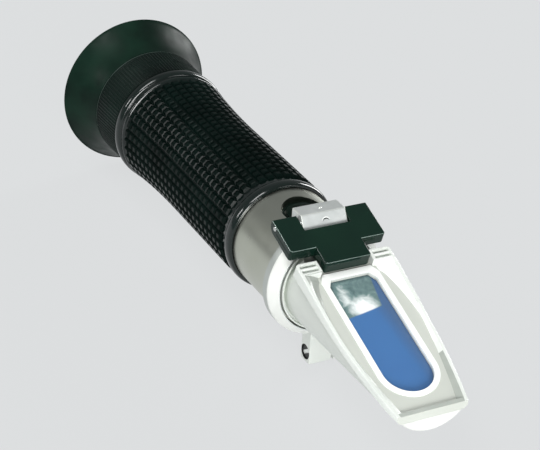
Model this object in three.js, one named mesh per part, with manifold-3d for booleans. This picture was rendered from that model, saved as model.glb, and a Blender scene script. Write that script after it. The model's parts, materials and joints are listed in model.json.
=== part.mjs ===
// Handheld optical refractometer: a rubber gripped barrel with a hinged daylight plate over a sloping prism.
// Millimetres, +X along the barrel to the nose, +Z up on the side of the daylight plate.
// Stations are measured along X from the nose, so they are negative towards the eyecup.
import * as THREE from 'three';
import { mergeVertices } from 'three/addons/utils/BufferGeometryUtils.js';
import Module from 'manifold-3d';

const wasm = await Module();
wasm.setup();

// Driving dimensions
const overallLength = 168.4;
const headLength = 49.2;
const tubeRadius = 13.8;
const eyecupRadius = 22;
const lugReach = 7.4;

// Clearances between neighbouring pieces
const seatGap = 0.3;
const sleeveGap = 0.15;
const runningGap = 0.1;
const bladeOverlap = 0.4;
const weldTolerance = 0.00001;

// Counts of faces round or along a curve
const fineSegments = 40;
const plainSegments = 30;
const smallSegments = 20;
const hookSteps = 8;
const frameSteps = 12;
const cornerSteps = 3;
const lensSteps = 3;

// Eyecup and focusing ring, from the eyecup's rim forward
const rimStation = -overallLength;
const hornLength = 12;
const hornFloorDepth = 2.8;
const hornWall = 1.7;
const rimRound = 0.4;
const flankShares = [0, 0.25, 0.5, 0.75];
const innerShares = [0.85, 0.6, 0.35];
const ringLength = 12.5;
const ringWebInset = 1.2;
const ringSpigotLength = 3.6;
const ringRear = rimStation + hornLength;
const ringFront = ringRear + ringLength;

// Grip sleeve, from the focusing ring to the bare front of the barrel
const gripWall = 1.2;
const gripFlare = 1.8;
const gripEndGap = 0.5;
const bareTube = 24.2;
const flareLength = 31.4;
const plainEndLength = 5.4;
const lipLength = 5.8;
const pyramidHeight = 0.75;
const pyramidPitch = 2.45;
const beadWidth = 3.2;
const beadGroove = 0.7;
const ribWidth = 0.6;
const gripRadius = tubeRadius + gripWall;
const gripRearRadius = gripRadius + gripFlare;
const gripRear = ringFront + gripEndGap;
const gripFront = -headLength - bareTube;
const gripFlareEnd = gripRear + flareLength;
const textureRear = gripRear + plainEndLength;
const textureFront = gripFront - lipLength;
const rowsAround = Math.round((2 * Math.PI * gripRadius) / pyramidPitch);
const rowsAlong = Math.round((textureFront - textureRear) / pyramidPitch);
// Each pair is a share of the lip's length and a share of the pyramid height that it has dropped by
const lipShares = [[0, 0], [0.4, 0.3], [0.8, 0.8], [1, 1.2]];

// Hinge collar with its knuckle and clamping lug
const collarLength = 4.9;
const collarSlopeLength = 1.2;
const collarStep = 1.6;
const collarChamfer = 0.35;
const spigotStep = 0.85;
const knuckleHalfWidth = 6.1;
const knuckleOverhang = 4.6;
const knuckleCrown = 2.3;
const toeInset = 1.4;
const lugInset = 0.5;
const lugLeft = -3.65;
const lugRight = 6;
const slitLeft = 2.5;
const slitWidth = 0.8;
const clampRise = 3.1;
const clampInset = 2.3;
const clampHeadRadius = 1.75;
const clampHeadDepth = 2.4;
const clampShank = 1.1;
const slotWidth = 0.6;
const slotDepth = 0.5;
const collarFront = -headLength;
const collarShoulder = collarFront - collarSlopeLength;
const collarRear = collarFront - collarLength;
const collarRadius = tubeRadius + collarStep;
const spigotRadius = tubeRadius - spigotStep;
const collarBore = spigotRadius + sleeveGap;
const lugDrop = collarRadius + lugReach;
const clampHeight = clampRise - lugDrop;
const clampStation = collarFront - clampInset;

// Hinge pin: behind the collar and a little above the tube
const pinRise = 1;
const pinRadius = 0.65;
const pinProud = 0.15;
const hingeRound = 2.2;
const hingeStation = collarRear - seatGap;
const hingeHeight = tubeRadius + pinRise;
const knuckleTop = hingeHeight + knuckleCrown;
const knuckleToe = collarFront - toeInset;
const knuckleToeHeight = tubeRadius + runningGap;

// Barrel
const barrelWall = 3.55;
const collarOverlap = 1.8;
const neckLength = 7.8;
const neckStep = 0.9;
const pocketInset = 9.3;
const pocketLip = 1.3;
const pocketRadius = 6.2;
const pocketDepth = 1.9;
const keyWidth = 1.6;
const keyLength = 12;
const keyHeight = 0.9;
const barrelFront = collarFront - collarOverlap;
const barrelBore = tubeRadius - barrelWall;
const neckFront = gripRear + sleeveGap;
const neckRear = neckFront - neckLength;
const neckRadius = tubeRadius - neckStep;
const pocketCentre = collarRear - pocketInset;
const pocketFloor = tubeRadius - pocketDepth;

// Eyepiece
const eyepieceWall = 1.9;
const cellInset = 1.5;
const cellLength = 28.9;
const cellWall = 1.65;
const cellFlangeWidth = 2;
const cellLipHeight = 1.2;
const cellLipWidth = 1.5;
const lensEdge = 1.4;
const lensBulge = 1.3;
const fieldLensInset = 2.7;
const eyeLensInset = 6.5;
const spacerWall = 0.9;
const retainerWall = 1.2;
const retainerWidth = 2;
const eyepieceBore = tubeRadius - eyepieceWall;
const cellRear = ringRear + cellInset;
const cellFront = cellRear + cellLength;
const cellRadius = eyepieceBore - sleeveGap - runningGap;
const cellBore = cellRadius - cellWall;
const eyepieceLensRadius = cellBore - sleeveGap;
const fieldLensStation = cellFront - fieldLensInset;
const eyeLensStation = cellRear + eyeLensInset;

// Focusing ring across the barrel
const ringStep = 0.65;
const ringFlare = 0.45;
const ringSpigotStep = 0.6;
const ringSpigotWall = 1.8;
const ringBore = neckRadius + seatGap;
const ringFrontRadius = gripRearRadius - ringStep;
const ringRearRadius = ringFrontRadius + ringFlare;
const ringSpigotRadius = ringBore - ringSpigotStep;
const ringSpigotBore = ringSpigotRadius - ringSpigotWall;

// Reticle and its shoulder in the barrel
const focusRoom = 6;
const reticleInset = 6.5;
const shoulderWidth = 1.8;
const shoulderHeight = 1.05;
const reticleThickness = 1.2;
const eyepieceBoreStation = cellFront + focusRoom;
const reticleShoulder = eyepieceBoreStation + reticleInset;

// Objective
const objectiveInset = 10.8;
const objectiveLength = 19;
const objectiveLensInset = 12;
const objectiveWall = 1.5;
const objectiveSeatHeight = 1;
const objectiveSeatWidth = 1.2;
const objectiveFront = collarFront - objectiveInset;
const objectiveRear = objectiveFront - objectiveLength;
const objectiveRadius = barrelBore - seatGap;
const objectiveBore = objectiveRadius - objectiveWall;
const objectiveLensStation = objectiveFront - objectiveLensInset;

// Stray light stop, halfway between the objective and the reticle
const stopHeight = 3.75;
const stopThickness = 1;
const stopStation = (objectiveRear + reticleShoulder) / 2;

// Calibration screw and its rubber plug
const plugRadius = 4.5;
const plugHollow = 3.3;
const plugDrop = 0.35;
const plugWall = 0.75;
const screwHeadRadius = 2.6;
const screwHeadHeight = 0.9;
const screwShank = 1.5;
const screwTip = 0.6;
const screwThrow = 0.6;
const plugTop = tubeRadius - plugDrop;

// Prism head
const headSpigotLength = 9.3;
const headSpigotWall = 1.65;
const flangeStep = 1.6;
const flangeWidth = 0.7;
const coneStep = 0.5;
const headTaper = 1.2;
const noseChordShare = 0.675;
const headWebStep = 2.05;
const headRear = collarFront - headSpigotLength;
const headSpigotRadius = barrelBore - sleeveGap;
const headSpigotBore = headSpigotRadius - headSpigotWall;
const flangeRadius = tubeRadius - flangeStep;
const headRearRadius = flangeRadius - coneStep;
const headNoseRadius = headRearRadius - headTaper;
const noseChordDrop = headNoseRadius * noseChordShare;
const noseHalfWidth = Math.sqrt(headNoseRadius ** 2 - noseChordDrop ** 2);

// The sloping face drops from just below the hinge pin to the chord across the nose
const pinAboveFace = 4;
const pinAboveChord = hingeHeight + noseChordDrop;
const plateTilt = Math.acos(pinAboveFace / Math.hypot(hingeStation, pinAboveChord))
  + Math.atan2(hingeStation, pinAboveChord);
const pinInFace = hingeStation * Math.cos(plateTilt) - pinAboveChord * Math.sin(plateTilt);

// Hinge block, in the plane of the sloping face, reaching forward from the pin
const blockInset = 1;
const blockRise = 1;
const blockReach = 8.75;
const webReach = 3.35;
const tongueReach = 14.15;
const blockHalfWidth = tubeRadius - blockInset;
const blockTop = pinAboveFace + blockRise;
const blockFront = pinInFace + blockReach;
const webRear = pinInFace + webReach;
const armInner = knuckleHalfWidth + seatGap;
const tongueHalfWidth = knuckleHalfWidth + runningGap;

// Prism and its gasket, in the plane of the sloping face
const pocketSideWall = 0.45;
const pocketNoseWall = 4.6;
const pocketFloorDrop = 1.2;
const pocketRearRoom = 1.2;
const prismSideRoom = 0.9;
const prismReach = 15.35;
const prismNoseWall = 5.9;
const prismSlant = 4;
const prismDepthShares = { front: 0.65, rear: 1.25 };
const gasketDepth = 1.6;
const gasketLip = 0.75;
const headPocketHalfWidth = noseHalfWidth - pocketSideWall;
const prismHalfWidth = headPocketHalfWidth - prismSideRoom;
const prismRear = pinInFace + prismReach;
const prismFront = -prismNoseWall;
const headPocketRear = prismRear * Math.cos(plateTilt) - pocketRearRoom;

// Daylight plate, in the plane of the sloping face, reaching forward from the pin
const plateUnderside = 0.3;
const plateThickness = 0.9;
const plateCorner = 1.05;
const plateRearReach = 11.1;
const plateShoulderReach = 15;
const plateTongueReach = 9.75;
const plateOverhang = 1.35;
const plateFlare = 2.5;
const plateFlareShares = [0, 0.08, 0.18, 0.3, 0.45, 0.65, 1];
const railWidth = 1;
const railHeight = 0.9;
const railDropShare = 0.55;
const noseLipWidth = 0.6;
const frameReach = 16.3;
const frameTipRoom = 6.6;
const frameWidth = 1.45;
const frameHeight = 0.3;
const padMargin = 1.65;
const padReachShare = 0.75;
const padDrop = 0.4;
const padShares = [0, 0.1, 0.25, 0.45, 0.7, 1];
const earHeight = 1.85;
const earRibs = 2;
const earRibWidth = 0.5;
const earRibPitch = 1.5;
const earRibHeight = 0.5;
const plateNoseHalfWidth = noseHalfWidth + plateOverhang;
const plateRearHalfWidth = blockHalfWidth - runningGap;
const plateRear = pinInFace + plateRearReach;
const plateShoulder = pinInFace + plateShoulderReach;
const frameInner = prismHalfWidth - sleeveGap;
const frameRear = pinInFace + frameReach;
const padInnerRear = frameInner + padMargin;

const colours = {
  blackRubber: new THREE.MeshStandardMaterial({ color: 0x17201d, roughness: 0.55, metalness: 0 }),
  blackPlastic: new THREE.MeshStandardMaterial({ color: 0x16221e, roughness: 0.3, metalness: 0 }),
  silver: new THREE.MeshStandardMaterial({ color: 0xb9bcb6, roughness: 0.38, metalness: 0.85 }),
  steel: new THREE.MeshStandardMaterial({ color: 0xc9ccca, roughness: 0.25, metalness: 1 }),
  brass: new THREE.MeshStandardMaterial({ color: 0xb08d4c, roughness: 0.35, metalness: 1 }),
  blackMetal: new THREE.MeshStandardMaterial({ color: 0x1b1d1e, roughness: 0.6, metalness: 0.5 }),
  clearPlastic: new THREE.MeshStandardMaterial({
    color: 0xeef1ee, roughness: 0.15, transparent: true, opacity: 0.55,
  }),
  blueGlass: new THREE.MeshStandardMaterial({ color: 0x4d7fb8, roughness: 0.1 }),
  lensGlass: new THREE.MeshStandardMaterial({
    color: 0xdfe8ea, roughness: 0.05, transparent: true, opacity: 0.4,
  }),
};

// Merges shared corners, drops empty triangles and turns the faces outward.
function weld(geometry) {
  const bare = geometry.clone();
  for (const name of ['normal', 'uv']) bare.deleteAttribute(name);
  const merged = mergeVertices(bare, weldTolerance);
  const corners = merged.attributes.position;
  const kept = [];
  for (let i = 0; i < merged.index.count; i += 3) {
    const triangle = [0, 1, 2].map((k) => merged.index.getX(i + k));
    if (new Set(triangle).size === 3) kept.push(triangle);
  }
  const [a, b, c] = [new THREE.Vector3(), new THREE.Vector3(), new THREE.Vector3()];
  let volume = 0;
  for (const [i, j, k] of kept) {
    a.fromBufferAttribute(corners, i);
    b.fromBufferAttribute(corners, j);
    c.fromBufferAttribute(corners, k);
    volume += a.dot(b.cross(c));
  }
  if (volume < 0) kept.forEach((triangle) => triangle.reverse());
  merged.setIndex(kept.flat());
  return merged;
}

function toSolid(geometry) {
  const welded = weld(geometry);
  const mesh = new wasm.Mesh({
    numProp: 3,
    vertProperties: Float32Array.from(welded.attributes.position.array),
    triVerts: Uint32Array.from(welded.index.array),
  });
  return new wasm.Manifold(mesh);
}

function toGeometry(solid) {
  const mesh = solid.getMesh();
  const geometry = new THREE.BufferGeometry();
  geometry.setAttribute('position', new THREE.BufferAttribute(mesh.vertProperties, 3));
  geometry.setIndex(Array.from(mesh.triVerts));
  return geometry;
}

function joined(...geometries) {
  return toGeometry(geometries.map(toSolid).reduce((sum, next) => sum.add(next)));
}

function cut(geometry, ...tools) {
  return toGeometry(tools.map(toSolid).reduce((left, tool) => left.subtract(tool), toSolid(geometry)));
}

function common(geometry, tool) {
  return toGeometry(toSolid(geometry).intersect(toSolid(tool)));
}

// Turns [station, radius] pairs about the barrel axis. A profile off the axis is closed on itself.
function turned(profile, segments = plainSegments) {
  const points = profile.map(([station, radius]) => new THREE.Vector2(radius, station));
  if (profile[0][1] > 0) points.push(points[0].clone());
  return weld(new THREE.LatheGeometry(points, segments).rotateZ(-Math.PI / 2));
}

function tube(front, rear, outer, inner, segments = plainSegments) {
  return turned([[rear, inner], [rear, outer], [front, outer], [front, inner]], segments);
}

// Points along an arc, from one angle to another, about a centre.
function arc(cx, cy, radius, from, to, steps) {
  return Array.from({ length: steps + 1 }, (_, i) => {
    const angle = from + ((to - from) * i) / steps;
    return [cx + radius * Math.cos(angle), cy + radius * Math.sin(angle)];
  });
}

function outline(points) {
  return new THREE.Shape(points.map(([x, y]) => new THREE.Vector2(x, y)));
}

// A prism over an outline in the X-Y plane, from one height to another.
function standing(points, low, high) {
  const shape = new THREE.ExtrudeGeometry(outline(points), { depth: high - low, bevelEnabled: false });
  return shape.translate(0, 0, low);
}

// A prism over an outline in the X-Z plane, from one side to the other.
function across(points, left, right) {
  const shape = new THREE.ExtrudeGeometry(outline(points), { depth: right - left, bevelEnabled: false });
  return shape.rotateX(Math.PI / 2).translate(0, right, 0);
}

function block(x0, x1, y0, y1, z0, z1) {
  const box = new THREE.BoxGeometry(x1 - x0, y1 - y0, z1 - z0);
  return box.translate((x0 + x1) / 2, (y0 + y1) / 2, (z0 + z1) / 2);
}

function rodAcross(radius, left, right, station, height, segments = smallSegments) {
  const rod = new THREE.CylinderGeometry(radius, radius, right - left, segments);
  return rod.translate(station, (left + right) / 2, height);
}

function rodUp(radius, low, high, station, segments = smallSegments) {
  const rod = new THREE.CylinderGeometry(radius, radius, high - low, segments).rotateX(Math.PI / 2);
  return rod.translate(station, 0, (low + high) / 2);
}

// Moves a shape drawn in the plane of the sloping face to its place on the head.
function onSlope(geometry) {
  return geometry.rotateY(plateTilt).translate(0, 0, -noseChordDrop);
}

// The rubber sleeve's outside: straight at the front, flaring to the rear bead.
function gripSurface(station) {
  const share = Math.max(0, (gripFlareEnd - station) / (gripFlareEnd - gripRear));
  return gripRadius + (gripRearRadius - gripRadius) * share ** 2;
}

// A ring of square pyramids, in rows along the barrel.
function pyramidBand(rear, front, bore) {
  const corners = [];
  const faces = [];
  const push = (station, radius, step) => {
    const angle = (2 * Math.PI * step) / rowsAround;
    corners.push(station, radius * Math.cos(angle), radius * Math.sin(angle));
    return corners.length / 3 - 1;
  };
  const pitch = (front - rear) / rowsAlong;
  const ring = (station, radius, shift) =>
    Array.from({ length: rowsAround }, (_, i) => push(station, radius, i + shift));
  const valleys = Array.from({ length: rowsAlong + 1 }, (_, j) => {
    const station = rear + pitch * j;
    return ring(station, gripSurface(station) - pyramidHeight, 0);
  });
  const peaks = Array.from({ length: rowsAlong }, (_, j) => {
    const station = rear + pitch * (j + 1 / 2);
    return ring(station, gripSurface(station), 1 / 2);
  });
  const ends = [ring(rear, bore, 0), ring(front, bore, 0)];
  const quad = (a, b, c, d) => faces.push(a, b, c, a, c, d);
  for (let i = 0; i < rowsAround; i += 1) {
    const next = (i + 1) % rowsAround;
    for (let j = 0; j < rowsAlong; j += 1) {
      const rim = [valleys[j][i], valleys[j + 1][i], valleys[j + 1][next], valleys[j][next]];
      rim.forEach((corner, k) => faces.push(corner, rim[(k + 1) % 4], peaks[j][i]));
    }
    quad(ends[0][i], valleys[0][i], valleys[0][next], ends[0][next]);
    quad(valleys[rowsAlong][i], ends[1][i], ends[1][next], valleys[rowsAlong][next]);
    quad(ends[1][i], ends[0][i], ends[0][next], ends[1][next]);
  }
  const geometry = new THREE.BufferGeometry();
  geometry.setAttribute('position', new THREE.Float32BufferAttribute(corners, 3));
  geometry.setIndex(faces);
  return geometry;
}

function gripSleeve() {
  const bore = tubeRadius + sleeveGap;
  const beadFront = gripRear + beadWidth;
  const grooveRadius = gripRearRadius - beadGroove;
  const beadRound = beadWidth / 4;
  const rear = turned([
    [gripRear, bore],
    [gripRear, gripRearRadius - beadRound],
    [gripRear + beadRound, gripRearRadius],
    [beadFront - beadRound, gripRearRadius],
    [beadFront, grooveRadius],
    [textureRear - ribWidth * 2, grooveRadius],
    [textureRear - ribWidth, gripSurface(textureRear) + ribWidth / 4],
    [textureRear, gripSurface(textureRear)],
    [textureRear + bladeOverlap, gripSurface(textureRear) - pyramidHeight],
    [textureRear + bladeOverlap, bore],
  ], rowsAround);
  const lip = lipShares.map(([along, drop]) =>
    [textureFront + (gripFront - textureFront) * along, gripRadius - pyramidHeight * drop]);
  const front = turned([
    [textureFront - bladeOverlap, bore],
    [textureFront - bladeOverlap, gripRadius - pyramidHeight],
    ...lip,
    [gripFront, bore],
  ], rowsAround);
  return joined(rear, pyramidBand(textureRear, textureFront, bore), front);
}

function barrelTube() {
  const shoulderRear = reticleShoulder - shoulderWidth;
  const body = turned([
    [neckRear, eyepieceBore],
    [neckRear, neckRadius],
    [neckFront, neckRadius],
    [neckFront, tubeRadius],
    [hingeStation, tubeRadius],
    [hingeStation, spigotRadius],
    [barrelFront, spigotRadius],
    [barrelFront, barrelBore],
    [reticleShoulder, barrelBore],
    [reticleShoulder, barrelBore - shoulderHeight],
    [shoulderRear, barrelBore - shoulderHeight],
    [shoulderRear, barrelBore],
    [eyepieceBoreStation, barrelBore],
    [eyepieceBoreStation, eyepieceBore],
  ], fineSegments);
  const arch = arc(pocketCentre, 0, pocketRadius, Math.PI / 2, (3 * Math.PI) / 2, smallSegments / 2);
  const pocketFront = collarRear - pocketLip;
  const pocket = standing([[pocketFront, pocketRadius], ...arch, [pocketFront, -pocketRadius]],
    pocketFloor, tubeRadius + seatGap);
  const headSeat = rodUp(screwHeadRadius + seatGap, pocketFloor - screwHeadHeight, tubeRadius, pocketCentre);
  const screwHole = rodUp(screwShank + runningGap, 0, tubeRadius, pocketCentre);
  return cut(body, pocket, headSeat, screwHole, keyBlock(sleeveGap));
}

// The key that keeps the lens cell from turning, or with a margin the slot that it lies in.
function keyBlock(margin) {
  const low = cellRadius - keyHeight / 2;
  const front = neckRear + seatGap + keyLength + margin;
  const side = keyWidth / 2 + margin;
  return block(neckRear + seatGap - margin, front, -side, side, low - margin, low + keyHeight + margin);
}

function calibrationScrew() {
  const top = pocketFloor + seatGap / 2;
  const under = top - screwHeadHeight;
  const cellTop = objectiveRadius + seatGap;
  const head = rodUp(screwHeadRadius, under, top, pocketCentre);
  const shank = rodUp(screwShank, cellTop, under, pocketCentre);
  const tip = rodUp(screwTip, objectiveBore, cellTop, pocketCentre).translate(0, -screwThrow, 0);
  const half = screwHeadRadius + seatGap;
  const slot = block(pocketCentre - half, pocketCentre + half, -slotWidth / 2, slotWidth / 2,
    top - slotDepth, top + slotDepth);
  return cut(joined(head, shank, tip), slot);
}

function calibrationCap() {
  const low = pocketFloor + seatGap;
  const disc = rodUp(plugRadius, low, tubeRadius + plugRadius, pocketCentre);
  const dome = turned([
    [pocketCentre - plugRadius * 2, 0],
    [pocketCentre - plugRadius * 2, plugTop],
    [pocketCentre + plugRadius * 2, plugTop],
    [pocketCentre + plugRadius * 2, 0],
  ], fineSegments);
  const hollow = rodUp(plugHollow, 0, plugTop - plugWall, pocketCentre);
  return cut(common(disc, dome), hollow);
}

// A disc with both faces bulging, as a lens or a plain window has.
function lens(station, radius, edge, bulge, segments = smallSegments) {
  const half = edge / 2;
  const face = (side) => Array.from({ length: lensSteps }, (_, i) => {
    const share = i / lensSteps;
    return [station + side * (half + bulge * (1 - share ** 2)), radius * share];
  });
  const rear = face(-1);
  const front = face(1);
  return turned([...rear, [station - half, radius], [station + half, radius], ...front.reverse()], segments);
}

function objectiveCell() {
  const seatFront = objectiveLensStation - lensEdge / 2 - seatGap;
  const body = turned([
    [objectiveRear, objectiveBore],
    [objectiveRear, objectiveRadius],
    [objectiveFront, objectiveRadius],
    [objectiveFront, objectiveBore],
    [seatFront, objectiveBore],
    [seatFront, objectiveBore - objectiveSeatHeight],
    [seatFront - objectiveSeatWidth, objectiveBore - objectiveSeatHeight],
    [seatFront - objectiveSeatWidth, objectiveBore],
  ]);
  const slotHalf = screwTip + runningGap;
  const slotSide = screwTip + screwThrow + seatGap;
  const slot = block(pocketCentre - slotHalf, pocketCentre + slotHalf, -slotSide, slotSide, 0, tubeRadius);
  return cut(body, slot);
}

function lensCell() {
  const flangeFront = cellRear + cellFlangeWidth;
  const flangeRim = neckRadius - sleeveGap;
  const body = turned([
    [cellRear, cellBore],
    [cellRear, flangeRim],
    [flangeFront, flangeRim],
    [flangeFront, cellRadius],
    [cellFront, cellRadius],
    [cellFront, cellBore - cellLipHeight],
    [cellFront - cellLipWidth, cellBore - cellLipHeight],
    [cellFront - cellLipWidth, cellBore],
  ]);
  const side = keyWidth / 2 + seatGap;
  const keyway = block(flangeFront + seatGap, cellFront + seatGap, -side, side,
    cellRadius - keyHeight / 2 - seatGap, cellRadius + keyHeight);
  return cut(body, keyway);
}

function focusRing() {
  const chamfer = seatGap * 2;
  const spigotRear = ringRear - ringSpigotLength;
  const webStation = ringRear + ringWebInset;
  return turned([
    [ringFront, ringBore],
    [ringFront, ringFrontRadius - chamfer],
    [ringFront - chamfer, ringFrontRadius],
    [ringRear, ringRearRadius],
    [ringRear, ringSpigotRadius],
    [spigotRear, ringSpigotRadius],
    [spigotRear, ringSpigotBore],
    [webStation, ringSpigotBore],
    [webStation, ringBore],
  ], fineSegments);
}

function eyecup() {
  const front = ringRear - seatGap;
  const hornFloor = ringRear - hornFloorDepth;
  const spread = eyecupRadius - ringRearRadius;
  const reach = front - rimStation;
  const flank = (share) => [front - reach * share, ringRearRadius + spread * (share + share ** 2) / 2];
  const outer = flankShares.map(flank);
  const inner = innerShares.map(flank).map(([station, radius]) => [station, radius - hornWall]);
  return turned([
    [front, ringSpigotRadius + sleeveGap],
    ...outer,
    [rimStation + rimRound, eyecupRadius],
    [rimStation, eyecupRadius - rimRound],
    [rimStation, eyecupRadius - rimRound * 2],
    ...inner,
    [hornFloor, ringRearRadius - hornWall],
    [hornFloor, ringSpigotRadius + sleeveGap],
  ], fineSegments);
}

function hingeCollar() {
  const ring = turned([
    [collarRear, collarBore],
    [collarRear, collarRadius - collarChamfer],
    [collarRear + collarChamfer, collarRadius],
    [collarShoulder, collarRadius],
    [collarShoulder + collarChamfer, collarRadius - collarChamfer],
    [collarFront, collarBore + collarChamfer],
    [collarFront, collarBore],
  ], fineSegments);
  const knuckleRear = collarRear - knuckleOverhang;
  const knuckleNose = collarRear + runningGap;
  const knuckleUnderside = tubeRadius + seatGap;
  const knuckle = across([
    [knuckleRear, knuckleUnderside],
    [knuckleRear, knuckleTop],
    [knuckleNose, knuckleTop],
    [knuckleToe, knuckleToeHeight],
    [collarRear, knuckleToeHeight],
    [collarRear, knuckleUnderside],
  ], -knuckleHalfWidth, knuckleHalfWidth);
  const lug = block(collarRear + lugInset, collarFront, lugLeft, lugRight,
    -lugDrop, -collarBore - collarChamfer);
  const seatSide = armInner + seatGap;
  const webSeat = onSlope(block(webRear - seatGap, blockFront, -seatSide, seatSide,
    -lugDrop / 2, blockTop + seatGap));
  const webClear = cut(webSeat, block(-overallLength, 0, -lugDrop, lugDrop, -lugDrop, 0));
  const slopeClear = across([
    [knuckleNose, knuckleTop],
    [knuckleToe, knuckleToeHeight],
    [collarFront + seatGap, knuckleToeHeight],
    [collarFront + seatGap, knuckleTop],
  ], -seatSide, seatSide);
  const scallops = [-1, 1].map((side) => {
    const ends = [side * (armInner - seatGap), side * collarRadius];
    return rodAcross(hingeRound + seatGap, Math.min(...ends), Math.max(...ends), hingeStation, hingeHeight);
  });
  const pinHole = rodAcross(pinRadius + runningGap, -collarRadius, collarRadius, hingeStation, hingeHeight);
  const slit = block(collarRear - seatGap, collarFront + seatGap, slitLeft, slitLeft + slitWidth,
    -lugDrop - seatGap, 0);
  const headHole = rodAcross(clampHeadRadius + sleeveGap, lugLeft - seatGap, lugLeft + clampHeadDepth,
    clampStation, clampHeight);
  const shankHole = rodAcross(clampShank + sleeveGap, lugLeft, lugRight + seatGap, clampStation, clampHeight);
  const holes = [pinHole, slit, headHole, shankHole];
  return cut(joined(ring, knuckle, lug), webClear, slopeClear, ...scallops, ...holes);
}

function clampScrew() {
  const face = lugLeft + seatGap;
  const under = lugLeft + clampHeadDepth - seatGap;
  const head = rodAcross(clampHeadRadius, face, under, clampStation, clampHeight);
  const shank = rodAcross(clampShank, under - seatGap, lugRight - seatGap, clampStation, clampHeight);
  const slot = block(clampStation - clampHeadRadius * 2, clampStation + clampHeadRadius * 2,
    face - slotDepth, face + slotDepth * 2, clampHeight - slotWidth / 2, clampHeight + slotWidth / 2);
  return cut(joined(head, shank), slot);
}

function prismHead() {
  const flangeFront = collarFront + seatGap;
  const flangeRear = flangeFront - flangeWidth;
  const nose = turned([
    [headRear, 0],
    [headRear, headSpigotRadius],
    [flangeRear, headSpigotRadius],
    [flangeRear, flangeRadius],
    [flangeFront, flangeRadius],
    [flangeFront, headRearRadius],
    [0, headNoseRadius],
    [0, 0],
  ], fineSegments);
  const far = overallLength;
  const above = cut(onSlope(block(-far, far, -far, far, 0, far)),
    block(-far * 2, flangeFront, -far * 2, far * 2, -far * 2, far * 2));
  const webBore = headSpigotBore - headWebStep;
  const bore = turned([[headRear - seatGap, 0], [headRear - seatGap, headSpigotBore],
    [flangeRear, headSpigotBore], [flangeRear, webBore], [headPocketRear, webBore], [headPocketRear, 0]]);
  const pocketFloorHeight = -noseChordDrop - pocketFloorDrop;
  const pocket = block(headPocketRear - seatGap, -pocketNoseWall, -headPocketHalfWidth, headPocketHalfWidth,
    pocketFloorHeight, headRearRadius);
  return cut(nose, above, bore, pocket);
}

function prism() {
  const frontDepth = (headNoseRadius - noseChordDrop) * prismDepthShares.front;
  const rearDepth = headSpigotBore * prismDepthShares.rear;
  return onSlope(across([
    [prismRear, -runningGap],
    [prismFront, -runningGap],
    [prismFront - frontDepth / 2, -frontDepth],
    [prismRear + prismSlant, -rearDepth],
  ], -prismHalfWidth, prismHalfWidth));
}

function prismGasket() {
  const outer = block(prismRear - gasketLip, prismFront + gasketLip, -headPocketHalfWidth + sleeveGap,
    headPocketHalfWidth - sleeveGap, -gasketDepth, -runningGap);
  const inner = block(prismRear - sleeveGap, prismFront + sleeveGap, -prismHalfWidth - sleeveGap,
    prismHalfWidth + sleeveGap, -gasketDepth * 2, gasketDepth);
  return onSlope(cut(outer, inner));
}

// Half-width of the plate at a place along it: full beside the ears, drawn in towards the nose.
function plateHalfWidth(x) {
  const share = 1 - (1 - x / plateShoulder) ** plateFlare;
  return plateNoseHalfWidth + (plateRearHalfWidth - plateNoseHalfWidth) * share;
}

// The plate's side edge from the nose to the ears, moved in by an inset.
function plateSide(inset) {
  const stations = plateFlareShares.map((share) => share * plateShoulder);
  return stations.map((x) => [x, plateHalfWidth(x) - inset]);
}

// Inner edge of the side ramp: close to the window at the hinge, out at the rail towards the nose.
function padEdge(share) {
  const x = frameRear * (1 - share * padReachShare);
  return [x, padInnerRear + (plateHalfWidth(x) - railWidth - padInnerRear) * Math.sqrt(share)];
}

function plateBase() {
  const bend = arc(plateRear + plateCorner, plateRearHalfWidth - plateCorner, plateCorner,
    Math.PI / 2, Math.PI, cornerSteps);
  const right = [
    ...plateSide(0),
    ...bend,
    [plateRear, tongueHalfWidth + seatGap],
    [pinInFace + plateTongueReach, tongueHalfWidth + seatGap],
  ];
  const left = right.map(([x, y]) => [x, -y]).reverse();
  return [...right, ...left];
}

function plateFrame(offset) {
  const half = frameInner + offset;
  const rear = frameRear - offset;
  const tip = -frameInner - frameTipRoom;
  return [[rear, half], ...arc(tip, 0, half, Math.PI / 2, -Math.PI / 2, frameSteps), [rear, -half]];
}

// One ear beside the tongue, with the ribs on it.
function plateEar(side, top) {
  const inner = armInner + seatGap;
  const foot = [[plateRear + seatGap, inner], [plateShoulder, inner], [plateShoulder, plateRearHalfWidth],
    [plateRear + earRibPitch, plateRearHalfWidth], [plateRear + seatGap, plateRearHalfWidth - earRibPitch]];
  const pieces = [standing(foot.map(([x, y]) => [x, side * y]), plateUnderside, top)];
  for (let i = 0; i < earRibs; i += 1) {
    const x = plateRear + earRibPitch * (i + 1);
    const ends = [side * (inner + railWidth), side * (plateRearHalfWidth - railWidth)];
    const rib = block(x, x + earRibWidth, Math.min(...ends), Math.max(...ends),
      plateUnderside, top + earRibHeight);
    pieces.push(rib);
  }
  return pieces;
}

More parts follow.
